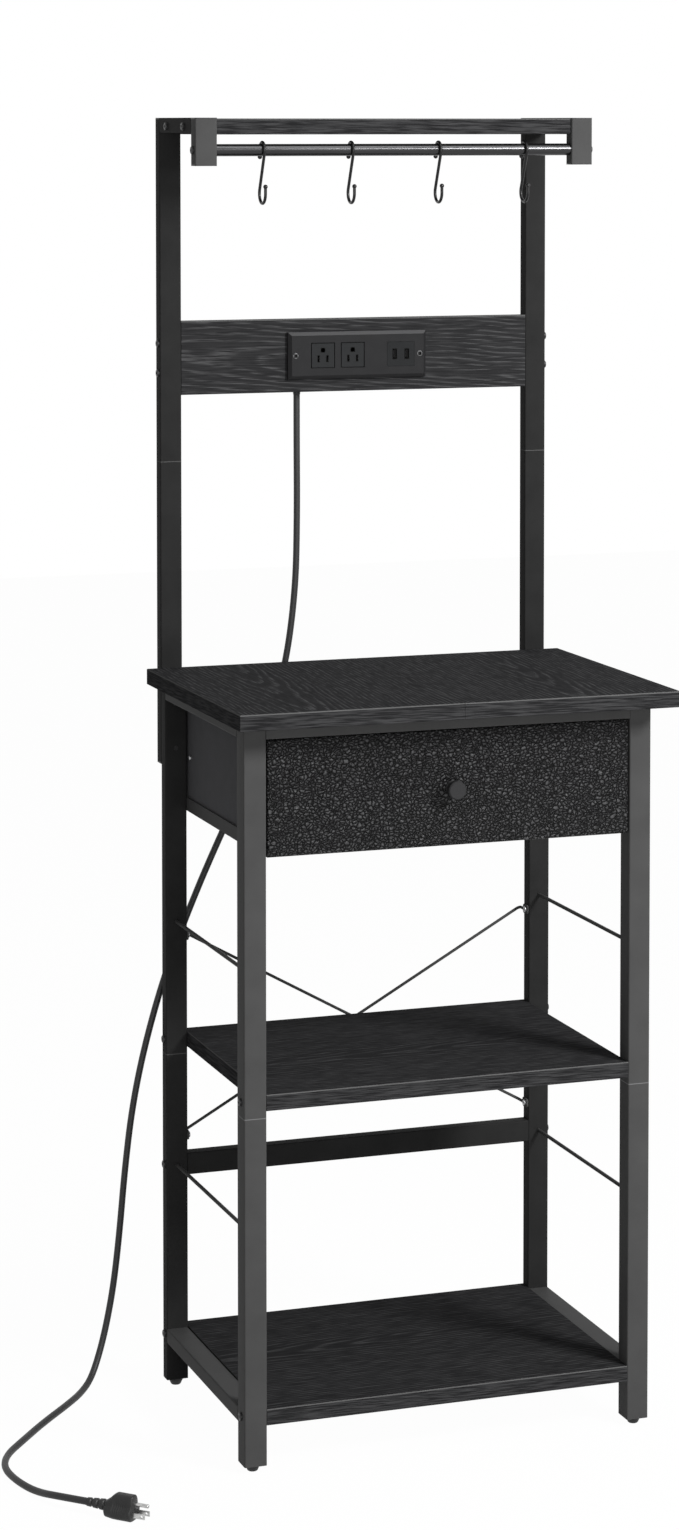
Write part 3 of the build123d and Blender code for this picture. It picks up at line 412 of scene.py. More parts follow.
@dataclass(frozen=True)
class Leatherette(Finish):
    """Pebbled black faux leather glued round a board.

    Small rounded pebbles with creases between them, lit on one side and dark on the other, with
    painted shade in the creases and a painted highlight on the crests.
    """

    pebble: float = 5.4
    flatness: float = 1.35  # how much wider than tall a pebble is
    bends: tuple[tuple[float, float], ...] = ((13.0, 10.0), (4.0, 3.4))  # size and reach of each
    rim: float = 0.45  # how far in from its crease a pebble is round, as a share of its size
    wrinkle: float = 1.9
    wrinkle_share: float = 0.12
    dome_share: float = 0.75
    depth: float = 4.2
    # colours of the painted shade in the creases and the painted highlight on the crests
    crease_shade: str = "#030303"
    crest_highlight: str = "#464647"

    def draw(self, tree: bpy.types.NodeTree, mm: bpy.types.NodeSocket, shader: bpy.types.Node) -> None:
        """Cells with creases, bent by two slower noises so that no two pebbles match.

        Args:
            tree: the material's tree.
            mm: the place on the piece, in millimetres.
            shader: what the pattern is linked to.
        """
        moved = add_node(
            tree, "ShaderNodeVectorMath", {"operation": "MULTIPLY"}, {0: mm, 1: (1.0, 1.0, self.flatness)}
        ).outputs[0]
        for size, reach in self.bends:
            bend = add_node(tree, "ShaderNodeTexNoise", None, {"Vector": mm, "Scale": 1 / size, "Detail": 1.0})
            moved = add_node(
                tree, "ShaderNodeVectorMath", {"operation": "MULTIPLY_ADD"},
                {0: bend.outputs["Color"], 1: (reach, reach, reach), 2: moved},
            ).outputs[0]
        cells = add_node(
            tree, "ShaderNodeTexVoronoi", {"feature": "DISTANCE_TO_EDGE"},
            {"Vector": moved, "Scale": 1 / self.pebble, "Randomness": 1.0},
        )
        slope = add_node(
            tree, "ShaderNodeMapRange", None,
            {"Value": cells.outputs["Distance"], "From Max": self.rim, "To Max": math.pi / 2},
        ).outputs[0]
        dome = add_node(tree, "ShaderNodeMath", {"operation": "SINE"}, {0: slope}).outputs[0]
        fine = add_node(
            tree, "ShaderNodeTexNoise", None, {"Vector": moved, "Scale": 1 / self.wrinkle, "Detail": 2.0}
        ).outputs["Fac"]
        dome = add_node(
            tree, "ShaderNodeMath", {"operation": "MULTIPLY"}, {0: dome, 1: self.dome_share}
        ).outputs[0]
        height = add_node(
            tree, "ShaderNodeMath", {"operation": "MULTIPLY_ADD"}, {0: fine, 1: self.wrinkle_share, 2: dome}
        ).outputs[0]
        bump = add_node(
            tree, "ShaderNodeBump", None, {"Strength": 1.0, "Distance": self.depth * MM, "Height": height}
        )
        tree.links.new(bump.outputs[0], shader.inputs["Normal"])
        # Painted shade and highlight: by height, the creases are painted near black and the crests paler.
        colour = add_node(
            tree, "ShaderNodeValToRGB", None, {"Fac": height},
            [(0.14, self.crease_shade), (0.5, self.colour), (0.84, self.crest_highlight)],
        )
        tree.links.new(colour.outputs["Color"], shader.inputs["Base Color"])


@dataclass(frozen=True)
class Cloth(Finish):
    """Plain dark cloth glued on board: a close even weave with little sheen.

    Its threads are 0.5 mm apart and are drawn at 1.4 mm, because finer ones don't show.
    """

    thread: float = 1.4
    slub: float = 18.0
    depth: float = 0.2
    lighter: str = "#434345"

    def draw(self, tree: bpy.types.NodeTree, mm: bpy.types.NodeSocket, shader: bpy.types.Node) -> None:
        """Two sets of threads, one along and one across, with slubs.

        Args:
            tree: the material's tree.
            mm: the place on the piece, in millimetres.
            shader: what the pattern is linked to.
        """
        heights = [
            add_node(
                tree, "ShaderNodeTexWave", {"wave_type": "BANDS", "bands_direction": way},
                {"Vector": mm, "Scale": ONE_WAVE / self.thread, "Distortion": 0.6, "Detail": 1.0},
            ).outputs["Fac"]
            for way in ("Y", "Z")
        ]
        crossed = add_node(
            tree, "ShaderNodeMath", {"operation": "MULTIPLY"}, {0: heights[0], 1: heights[1]}
        ).outputs[0]
        slubs = add_node(
            tree, "ShaderNodeTexNoise", None, {"Vector": mm, "Scale": 1 / self.slub, "Detail": 4.0}
        ).outputs["Fac"]
        share = add_node(
            tree, "ShaderNodeMath", {"operation": "MULTIPLY"}, {0: crossed, 1: slubs}
        ).outputs[0]
        colour = add_node(
            tree, "ShaderNodeValToRGB", None, {"Fac": share}, [(0.0, self.colour), (0.6, self.lighter)]
        )
        tree.links.new(colour.outputs["Color"], shader.inputs["Base Color"])
        bump = add_node(
            tree, "ShaderNodeBump", None, {"Strength": 0.3, "Distance": self.depth * MM, "Height": crossed}
        )
        tree.links.new(bump.outputs[0], shader.inputs["Normal"])


@dataclass(frozen=True)
class Moulded(Finish):
    """Injection-moulded plastic with the fine spark-eroded grain of its mould.

    The grain spreads highlights, handling leaves slightly glossier patches, and a bevel that faces up
    is painted paler, as a painted highlight.
    """

    grain: float = 0.9
    depth: float = 0.08
    shade: float = 0.14
    patch: float = 16.0
    rubbed: float = 0.08
    # colour of the painted highlight on faces that point up
    top_highlight: str = ""
    upward: float = 0.3

    def draw(self, tree: bpy.types.NodeTree, mm: bpy.types.NodeSocket, shader: bpy.types.Node) -> None:
        """Fine grain for the bump and shade, slow patches for the gloss, and a painted highlight facing up.

        Args:
            tree: the material's tree.
            mm: the place on the piece, in millimetres.
            shader: what the pattern is linked to.
        """
        grain = add_node(
            tree, "ShaderNodeTexNoise", None, {"Vector": mm, "Scale": 1 / self.grain, "Detail": 2.0}
        ).outputs["Fac"]
        bump = add_node(
            tree, "ShaderNodeBump", None, {"Strength": 0.35, "Distance": self.depth * MM, "Height": grain}
        )
        tree.links.new(bump.outputs[0], shader.inputs["Normal"])
        patches = add_node(
            tree, "ShaderNodeTexNoise", None, {"Vector": mm, "Scale": 1 / self.patch, "Detail": 3.0}
        ).outputs["Fac"]
        gloss = add_node(
            tree, "ShaderNodeMapRange", None,
            {"Value": patches, "To Min": self.roughness - self.rubbed, "To Max": self.roughness + self.rubbed},
        )
        tree.links.new(gloss.outputs[0], shader.inputs["Roughness"])
        value = add_node(
            tree, "ShaderNodeMapRange", None,
            {"Value": grain, "To Min": 1 - self.shade, "To Max": 1 + self.shade},
        ).outputs[0]
        colour = add_node(
            tree, "ShaderNodeHueSaturation", None, {"Color": linear(self.colour), "Value": value}
        ).outputs[0]
        # Painted highlight: faces that point up get a paler colour.
        if self.top_highlight:
            facing = add_node(tree, "ShaderNodeNewGeometry").outputs["Normal"]
            upward = add_node(tree, "ShaderNodeSeparateXYZ", None, {0: facing}).outputs["Z"]
            bevel = add_node(
                tree, "ShaderNodeMath", {"operation": "GREATER_THAN"}, {0: upward, 1: self.upward}
            ).outputs[0]
            colour = add_node(
                tree, "ShaderNodeMix", {"data_type": "RGBA"},
                {0: bevel, COLOUR_A: colour, COLOUR_B: linear(self.top_highlight)},
            ).outputs[COLOUR_OUT]
        tree.links.new(colour, shader.inputs["Base Color"])


@dataclass(frozen=True)
class DrawnMetal(Finish):
    """Metal with the fine lines of drawing, turning or brushing left in it.

    The lines run along one axis and stretch highlights across it.
    """

    line: float = 0.5
    along: Point = (1.0, 1.0, 30.0)
    depth: float = 0.1
    darker: str = "#1a1a1b"
    glossier: float = 0.08
    duller: float = 0.1

    def draw(self, tree: bpy.types.NodeTree, mm: bpy.types.NodeSocket, shader: bpy.types.Node) -> None:
        """Noise drawn out along the working direction.

        Args:
            tree: the material's tree.
            mm: the place on the piece, in millimetres.
            shader: what the pattern is linked to.
        """
        drawn = add_node(
            tree, "ShaderNodeMapping", {"vector_type": "TEXTURE"},
            {"Vector": mm, "Scale": tuple(self.line * a for a in self.along)},
        ).outputs[0]
        lines = add_node(
            tree, "ShaderNodeTexNoise", None, {"Vector": drawn, "Scale": 1.0, "Detail": 3.0}
        ).outputs["Fac"]
        colour = add_node(
            tree, "ShaderNodeValToRGB", None, {"Fac": lines}, [(0.25, self.darker), (0.6, self.colour)]
        )
        tree.links.new(colour.outputs["Color"], shader.inputs["Base Color"])
        gloss = add_node(
            tree, "ShaderNodeMapRange", None,
            {"Value": lines, "To Min": self.roughness - self.glossier, "To Max": self.roughness + self.duller},
        )
        tree.links.new(gloss.outputs[0], shader.inputs["Roughness"])
        bump = add_node(
            tree, "ShaderNodeBump", None, {"Strength": 0.12, "Distance": self.depth * MM, "Height": lines}
        )
        tree.links.new(bump.outputs[0], shader.inputs["Normal"])


# Heights at which two lengths of tube meet, in millimetres.
LEG_SEAM = 459.0
POST_SEAM = 1265.0
STEEL = PowderCoat(
    "powder_coated_steel", Slot.STEEL, "#3f3f3f", roughness=0.56, specular=0.03, seams=(LEG_SEAM, POST_SEAM)
)
# The same coat painted darker on the tubes at the back, as painted shade.
SHADED_STEEL = PowderCoat(
    "powder_coated_steel_shaded", Slot.STEEL, "#232323", roughness=0.6, specular=0.02, lighter="#292929",
    seams=(LEG_SEAM, POST_SEAM), seam_highlight="#4c4c4c",
)
RAIL_STEEL = DrawnMetal(
    "satin_black_tube", Slot.STEEL, "#3f3f40", roughness=0.22, metallic=0.9, line=3.0,
    along=(60.0, 1.0, 1.0), darker="#373738",
)
BOLT_STEEL = DrawnMetal(
    "black_oxide_bolt", Slot.STEEL, "#1d1d1e", roughness=0.42, metallic=0.3, along=(1.0, 1.0, 1.0),
    darker="#121213",
)
WIRE = DrawnMetal(
    "black_coated_wire", Slot.WIRE, "#0e0e0f", roughness=0.3, specular=0.3, darker="#080809"
)
ZINC = DrawnMetal(
    "zinc_plated_screw", Slot.ZINC, "#a9a9aa", roughness=0.34, metallic=1.0, along=(1.0, 1.0, 1.0),
    darker="#77787a",
)
PLATE_SCREW = DrawnMetal(
    "zinc_plated_plate_screw", Slot.ZINC, "#5c5c5d", roughness=0.45, metallic=0.7, along=(1.0, 1.0, 1.0),
    # Painted shade: the recess in each screw head is painted near black.
    darker="#434344", painted_shade_boxes=(PaintedShadeBox((0.0, 187.0, 1405.0), (2.5, 6.0, 2.5), (90.0,)),),
)
BLADE = DrawnMetal(
    "nickel_plated_brass", Slot.BRASS, "#c8c8c7", roughness=0.25, metallic=1.0, along=(12.0, 12.0, 1.0),
    darker="#8c8c8b",
)
BEECH = DrawnMetal(
    "beech_dowel", Slot.BEECH, "#c9a274", roughness=0.6, along=(24.0, 1.0, 1.0), darker="#9d7546"
)
CLOTH = Cloth("dark_drawer_cloth", Slot.CLOTH, "#454547", roughness=0.85, specular=0.1, lighter="#575759")
LEATHER = Leatherette("pebbled_leatherette", Slot.LEATHERETTE, "#343435", roughness=0.32, specular=0.14)
CAP = Moulded("moulded_polypropylene", Slot.PLASTIC, "#161617", roughness=0.5, specular=0.35)
KNOB = Moulded("moulded_knob", Slot.PLASTIC, "#272728", roughness=0.5, specular=0.15, grain=1.4)
HOUSING = Moulded("moulded_housing", Slot.PLASTIC, "#1a1a1b", roughness=0.55, specular=0.4, grain=1.2)
PLUG = Moulded("soft_moulded_plug", Slot.PLASTIC, "#282828", roughness=0.42, specular=0.25, grain=0.8)
PLATE = Moulded(
    # the faceplate's bevel gets a painted highlight where it faces up
    "faceplate_abs", Slot.SOCKET, "#1f1f20", roughness=0.36, specular=0.12, grain=1.1, top_highlight="#4c4c4d",
    # Painted shade: surfaces set back behind the plate's face, round its openings, are painted near black.
    painted_shade_boxes=(PaintedShadeBox((7.0, 192.0, 1405.0), (79.0, 4.6, 19.0)),),
)
INSERT = Moulded(
    "socket_face_abs", Slot.SOCKET, "#202122", roughness=0.4, specular=0.1, grain=1.1,
    # Painted shade: everything behind the socket faces, and the slots and earth holes with a rim round them,
    # are painted near black.
    painted_shade_boxes=(
        PaintedShadeBox((-29.5, 200.0, 1405.0), (60.0, 12.6, 30.0)),
        PaintedShadeBox((-29.5, 190.0, 1400.5), (1.9, 10.0, 5.0), (21.5, 6.35)),
        PaintedShadeBox((-29.5, 190.0, 1412.2), (3.3, 10.0, 3.3), (21.5,)),
    ),
)
CHARGER = Moulded(
    "charging_module_abs", Slot.SOCKET, "#1c1d1e", roughness=0.36, specular=0.1, grain=1.1,
    # Painted shade: the insides of the ports and a band round each port are painted near black; the band also
    # stands for the module's own black rim.
    painted_shade_boxes=(
        PaintedShadeBox((62.0, 200.0, 1405.0), (30.0, 12.6, 30.0)),
        PaintedShadeBox((62.0, 190.0, 1405.0), (3.6, 10.0, 7.6), (8.85,)),
    ),
)
JACKET = Moulded("pvc_cord_jacket", Slot.CORD, "#1a1a1b", roughness=0.5, specular=0.4, grain=2.0, depth=0.05)


# ---------------------------------------------------------------- pieces


def dress(finish: Finish, nodes: Iterable[str]) -> None:
    """Give CAD nodes their finish and smooth their round faces.

    Args:
        finish: the finish for all of them.
        nodes: names of the nodes.
    """
    for name in nodes:
        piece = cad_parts[name]
        piece.data.materials.clear()
        piece.data.materials.append(finish.material())
        smooth = piece.modifiers.new("round_faces", "NODES")
        smooth.node_group = RoundFaces().tree()
        log.info("%s: %s", name, finish.name)


def finish_piece(mesh: bpy.types.Mesh, name: str, finish: Finish, body: Body) -> bpy.types.Object:
    """Put a finished mesh in the scene as a piece that rides on a body.

    Args:
        mesh: mesh with its place in it, in metres.
        name: the piece's name.
        finish: its finish.
        body: the body that it moves with.

    Returns:
        The piece's object, at the origin.
    """
    piece = bpy.data.objects.new(name, mesh)
    bpy.context.scene.collection.objects.link(piece)
    mesh.materials.clear()
    mesh.materials.append(finish.material())
    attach(piece, body.value)
    log.info("%s: %d faces, %s", name, len(mesh.polygons), finish.name)
    return piece


def ease(share: float) -> float:
    """A rise from 0 to 1 that starts and ends level."""
    return share * share * (3 - 2 * share)


def loft(name: str, rings: Sequence[Sequence[Vector]]) -> bpy.types.Mesh:
    """A closed mesh through rings of points, capped at both ends, with smooth faces.

    Args:
        name: the mesh's name.
        rings: rings with equal counts of points, from one end to the other.

    Returns:
        The mesh.
    """
    shell = bmesh.new()
    rows = [[shell.verts.new(p) for p in ring] for ring in rings]
    for low, high in zip(rows, rows[1:]):
        for i in range(len(low)):
            j = (i + 1) % len(low)
            shell.faces.new((low[i], low[j], high[j], high[i]))
    for row in (rows[0], rows[-1]):
        middle = shell.verts.new(sum((v.co for v in row), Vector()) / len(row))
        for i in range(len(row)):
            shell.faces.new((row[i], row[(i + 1) % len(row)], middle))
    bmesh.ops.recalc_face_normals(shell, faces=shell.faces)
    for face in shell.faces:
        face.smooth = True
    mesh = bpy.data.meshes.new(name)
    shell.to_mesh(mesh)
    shell.free()
    return mesh


@dataclass
class GrowingTree:
    """A Geometry Nodes tree that is built here and turned into a plain mesh."""

    name: str = "tree"

    def start(self, sizes: Sizes) -> bpy.types.NodeTree:
        """A new tree with a named input for each size.

        Args:
            sizes: socket type and value, by name.

        Returns:
            The tree.
        """
        tree = bpy.data.node_groups.new(self.name, "GeometryNodeTree")
        tree.interface.new_socket("Geometry", in_out="INPUT", socket_type="NodeSocketGeometry")
        for name, (kind, value) in sizes.items():
            tree.interface.new_socket(name, in_out="INPUT", socket_type=kind).default_value = value
        tree.interface.new_socket("Geometry", in_out="OUTPUT", socket_type="NodeSocketGeometry")
        return tree

    def end(self, tree: bpy.types.NodeTree, made: bpy.types.NodeSocket, finish: Finish) -> None:
        """Close the tree with Realize Instances and Set Material.

        Args:
            tree: the tree.
            made: what it has made so far.
            finish: what that is made of.
        """
        real = add_node(tree, "GeometryNodeRealizeInstances", None, {"Geometry": made})
        dressed = add_node(
            tree, "GeometryNodeSetMaterial", None,
            {"Geometry": real.outputs[0], "Material": finish.material()},
        )
        add_node(tree, "NodeGroupOutput", None, {"Geometry": dressed.outputs[0]})

    def grow(self, tree: bpy.types.NodeTree, sizes: Sizes, place: Matrix) -> bpy.types.Mesh:
        """Run the tree on an empty mesh and keep what it makes.

        Args:
            tree: the finished tree.
            sizes: socket type and value of its inputs, by name.
            place: where the result goes, in metres.

        Returns:
            A plain mesh with its place in it.
        """
        holder = bpy.data.objects.new(self.name, bpy.data.meshes.new(self.name))
        bpy.context.scene.collection.objects.link(holder)
        growing = holder.modifiers.new(self.name, "NODES")
        growing.node_group = tree
        for item in tree.interface.items_tree:
            if item.in_out == "INPUT" and item.name in sizes:
                growing[item.identifier] = sizes[item.name][1]
        graph = bpy.context.evaluated_depsgraph_get()
        mesh = bpy.data.meshes.new_from_object(holder.evaluated_get(graph))
        mesh.transform(place)
        bpy.data.objects.remove(holder)
        return mesh


@dataclass
class RoundFaces(GrowingTree):
    """Joins a CAD node's loose triangles and smooths all but its real corners."""

    name: str = "round_faces"
    corner: float = math.radians(28)
    gap: float = 0.000005

    def tree(self) -> bpy.types.NodeTree:
        """The tree, made once and shared by all nodes.

        Returns:
            The tree.
        """
        made = bpy.data.node_groups.get(self.name)
        if made:
            return made
        tree = self.start({"Corner": ("NodeSocketFloat", self.corner)})
        given = add_node(tree, "NodeGroupInput").outputs
        joined = add_node(
            tree, "GeometryNodeMergeByDistance", None, {"Geometry": given["Geometry"], "Distance": self.gap}
        )
        smooth = add_node(
            tree, "GeometryNodeSetShadeSmooth", {"domain": "FACE"}, {"Geometry": joined.outputs[0]}
        )
        angle = add_node(tree, "GeometryNodeInputMeshEdgeAngle").outputs["Unsigned Angle"]
        sharp = add_node(
            tree, "FunctionNodeCompare", {"operation": "GREATER_THAN"}, {0: angle, 1: given["Corner"]}
        )
        edges = add_node(
            tree, "GeometryNodeSetShadeSmooth", {"domain": "EDGE"},
            {"Geometry": smooth.outputs[0], "Selection": sharp.outputs[0], "Shade Smooth": False},
        )
        add_node(tree, "NodeGroupOutput", None, {"Geometry": edges.outputs[0]})
        return tree


@dataclass
class RibRow(GrowingTree):
    """Raised rings along a straight line, as on a strain relief. Sizes are in metres."""

    name: str = "rib_row"
    count: int = 5
    length: float = 0.02
    first: float = 0.006
    last: float = 0.005
    thick: float = 0.0006

    def mesh(self, finish: Finish, place: Matrix) -> bpy.types.Mesh:
        """The row of rings, first ring at the place's origin and the rest along its Z.

        Args:
            finish: what they are made of.
            place: where they go.

        Returns:
            A plain mesh.
        """
        sizes = {
            "Count": ("NodeSocketInt", self.count), "Length": ("NodeSocketFloat", self.length),
            "First radius": ("NodeSocketFloat", self.first), "Last radius": ("NodeSocketFloat", self.last),
            "Thickness": ("NodeSocketFloat", self.thick),
        }
        tree = self.start(sizes)
        given = add_node(tree, "NodeGroupInput").outputs
        end = add_node(tree, "ShaderNodeCombineXYZ", None, {"Z": given["Length"]})
        line = add_node(tree, "GeometryNodeCurvePrimitiveLine", None, {"End": end.outputs[0]})
        spread = add_node(
            tree, "GeometryNodeResampleCurve", None, {"Curve": line.outputs[0], "Count": given["Count"]}
        )
        ring = add_node(
            tree, "GeometryNodeCurvePrimitiveCircle", {"mode": "RADIUS"}, {"Resolution": 40, "Radius": 1.0}
        )
        thick = add_node(
            tree, "ShaderNodeMath", {"operation": "DIVIDE"}, {0: given["Thickness"], 1: given["First radius"]}
        )
        section = add_node(
            tree, "GeometryNodeCurvePrimitiveCircle", {"mode": "RADIUS"},
            {"Resolution": 8, "Radius": thick.outputs[0]},
        )
        tube = add_node(
            tree, "GeometryNodeCurveToMesh", None,
            {"Curve": ring.outputs[0], "Profile Curve": section.outputs[0]},
        )
        along = add_node(tree, "GeometryNodeSplineParameter").outputs["Factor"]
        radius = add_node(
            tree, "ShaderNodeMapRange", None,
            {"Value": along, "To Min": given["First radius"], "To Max": given["Last radius"]},
        ).outputs[0]
        scale = add_node(tree, "ShaderNodeCombineXYZ", None, {"X": radius, "Y": radius, "Z": radius})
        points = add_node(
            tree, "GeometryNodeCurveToPoints", {"mode": "EVALUATED"}, {"Curve": spread.outputs[0]}
        )
        rings = add_node(
            tree, "GeometryNodeInstanceOnPoints", None,
            {"Points": points.outputs[0], "Instance": tube.outputs[0], "Scale": scale.outputs[0]},
        )
        self.end(tree, rings.outputs[0], finish)
        return self.grow(tree, sizes, place)


@dataclass
class GripRibs(GrowingTree):
    """Upright ribs round a round foot, for fingers to turn it by. Sizes are in metres."""

    name: str = "grip_ribs"
    count: int = 26
    radius: float = 0.0089
    thick: float = 0.0005
    tall: float = 0.0026

    def mesh(self, finish: Finish, place: Matrix) -> bpy.types.Mesh:
        """The ribs, centred on the place's origin.

        Args:
            finish: what they are made of.
            place: where they go.

        Returns:
            A plain mesh.
        """
        sizes = {
            "Count": ("NodeSocketInt", self.count), "Radius": ("NodeSocketFloat", self.radius),
            "Thickness": ("NodeSocketFloat", self.thick), "Height": ("NodeSocketFloat", self.tall),
        }
        tree = self.start(sizes)
        given = add_node(tree, "NodeGroupInput").outputs
        ring = add_node(
            tree, "GeometryNodeMeshCircle", None, {"Vertices": given["Count"], "Radius": given["Radius"]}
        )
        rib = add_node(
            tree, "GeometryNodeMeshCylinder", None,
            {"Vertices": 8, "Radius": given["Thickness"], "Depth": given["Height"]},
        )
        ribs = add_node(
            tree, "GeometryNodeInstanceOnPoints", None, {"Points": ring.outputs[0], "Instance": rib.outputs[0]}
        )
        self.end(tree, ribs.outputs[0], finish)
        return self.grow(tree, sizes, place)


@dataclass
class ContactRows(GrowingTree):
    """Thin leaves that repeat twice at a small pitch, and that pair twice at a large one.

    Sizes are in metres.
    """

    name: str = "contact_rows"
    small_pitch: float = 0.0127
    large_pitch: float = 0.043
    leaf: Point = (0.0005, 0.006, 0.006)

    def mesh(self, finish: Finish, place: Matrix) -> bpy.types.Mesh:
        """The leaves, centred on the place's origin.

        Args:
            finish: what they are made of.
            place: where they go.

        Returns:
            A plain mesh.
        """
        sizes = {
            "Small pitch": ("NodeSocketFloat", self.small_pitch),
            "Large pitch": ("NodeSocketFloat", self.large_pitch), "Leaf": ("NodeSocketVector", self.leaf),
        }
        tree = self.start(sizes)
        given = add_node(tree, "NodeGroupInput").outputs
        made = add_node(tree, "GeometryNodeMeshCube", None, {"Size": given["Leaf"]}).outputs[0]
        for pitch in ("Small pitch", "Large pitch"):
            half = add_node(
                tree, "ShaderNodeMath", {"operation": "MULTIPLY"}, {0: given[pitch], 1: -0.5}
            ).outputs[0]
            first = add_node(tree, "ShaderNodeCombineXYZ", None, {"X": half})
            step = add_node(tree, "ShaderNodeCombineXYZ", None, {"X": given[pitch]})
            row = add_node(
                tree, "GeometryNodeMeshLine", {"mode": "OFFSET"},
                {"Count": 2, "Start Location": first.outputs[0], "Offset": step.outputs[0]},
            )
            made = add_node(
                tree, "GeometryNodeInstanceOnPoints", None, {"Points": row.outputs[0], "Instance": made}
            ).outputs[0]
        self.end(tree, made, finish)
        return self.grow(tree, sizes, place)


# ---------------------------------------------------------------- the photograph's view


@dataclass(frozen=True)
class Lamp:
    """A round soft lamp, with its place and size in metres and its power in watts."""

    name: str
    place: Point
    size: float
    power: float


@dataclass
class Studio:
    """The camera at the photograph's place, a pale floor, and soft lamps in an even surround."""

    camera_at: Point = (-1.6732, -4.5803, 1.7215)
    turned: float = 19.358
    tipped: float = 3.304
    lens: float = 86.896
    shift: tuple[float, float] = (-0.01303, -0.28)
    half_width: float = 9.0
    paper: str = "#e9e9e8"
    paper_glow: float = 0.98
    surround: float = 0.2
    lit_point: Point = (0.0, 0.0, 0.9)
    lamps: tuple[Lamp, ...] = (
        Lamp("key", (1.9, -2.9, 3.0), 1.1, 195.0),
        Lamp("fill", (-0.9, -4.8, 1.2), 2.0, 75.0),
        Lamp("top", (0.9, -1.6, 4.4), 1.4, 26.0),
    )

    def set_camera(self) -> None:
        """Put the camera where the photograph was taken from."""
        data = bpy.data.cameras.new("photo_camera")
        data.lens, data.sensor_width, data.sensor_fit = self.lens, 36.0, "AUTO"
        data.shift_x, data.shift_y = self.shift
        camera = bpy.data.objects.new("photo_camera", data)
        camera.location = self.camera_at
        camera.rotation_euler = (math.radians(90 - self.tipped), 0.0, math.radians(-self.turned))
        bpy.context.scene.collection.objects.link(camera)
        bpy.context.scene.camera = camera

    def seen(self, tree: bpy.types.NodeTree) -> bpy.types.NodeSocket:
        """Tell what the camera, a reflection or a clear piece shows from light on the object.

        Args:
            tree: the floor's or the world's tree.

        Returns:
            1 for what is shown, and 0 for light.
        """
        path = add_node(tree, "ShaderNodeLightPath").outputs
        seen = path["Is Camera Ray"]
        for ray in ("Is Glossy Ray", "Is Transmission Ray"):
            seen = add_node(
                tree, "ShaderNodeMath", {"operation": "MAXIMUM"}, {0: seen, 1: path[ray]}
            ).outputs[0]
        return seen

    def lay_floor(self) -> None:
        """A flat floor, as pale to the camera and in reflections as the surround that it runs into."""
        sheet = bmesh.new()
        bmesh.ops.create_grid(sheet, x_segments=1, y_segments=1, size=self.half_width)
        mesh = bpy.data.meshes.new("floor_sheet")
        sheet.to_mesh(mesh)
        sheet.free()
        floor = bpy.data.objects.new("floor_sheet", mesh)
        bpy.context.scene.collection.objects.link(floor)
        paper = bpy.data.materials.new("backdrop_paper")
        paper.use_nodes = True
        tree = paper.node_tree
        matt = tree.nodes["Principled BSDF"]
        matt.inputs["Base Color"].default_value = linear(self.paper)
        matt.inputs["Roughness"].default_value = 0.9
        matt.inputs["Specular IOR Level"].default_value = 0.0
        share = add_node(
            tree, "ShaderNodeMath", {"operation": "MULTIPLY"}, {0: self.seen(tree), 1: self.paper_glow}
        )
        glow = add_node(tree, "ShaderNodeEmission", None, {"Color": linear("#ffffff"), "Strength": 1.0})
        mixed = add_node(
            tree, "ShaderNodeMixShader", None, {0: share.outputs[0], 1: matt.outputs[0], 2: glow.outputs[0]}
        )
        tree.links.new(mixed.outputs[0], tree.nodes["Material Output"].inputs["Surface"])
        mesh.materials.append(paper)

    def light(self) -> None:
        """Large soft lamps, the strongest from the upper right in front, and an even surround."""
        for lamp in self.lamps:
            data = bpy.data.lights.new(lamp.name, "AREA")
            data.shape, data.size, data.energy = "DISK", lamp.size, lamp.power
            hung = bpy.data.objects.new(lamp.name, data)
            hung.location = lamp.place
            hung.visible_camera = False
            aim = Vector(self.lit_point) - Vector(lamp.place)
            hung.rotation_euler = aim.to_track_quat("-Z", "Y").to_euler()
            bpy.context.scene.collection.objects.link(hung)
        world = bpy.data.worlds.new("studio_surround")
        world.use_nodes = True
        tree = world.node_tree
        back = tree.nodes["Background"]
        back.inputs["Color"].default_value = linear("#ffffff")
        strength = add_node(
            tree, "ShaderNodeMapRange", None,
            {"Value": self.seen(tree), "To Min": self.surround, "To Max": 1.0},
        )
        tree.links.new(strength.outputs[0], back.inputs["Strength"])
        bpy.context.scene.world = world

    def build(self) -> None:
        """Camera, floor, lamps and plain colour settings."""
        self.set_camera()
        self.lay_floor()
        self.light()
        bpy.context.scene.view_settings.view_transform = "Standard"
        log.info("studio: camera, floor and %d lamps", len(self.lamps))


# ---------------------------------------------------------------- cord and plug


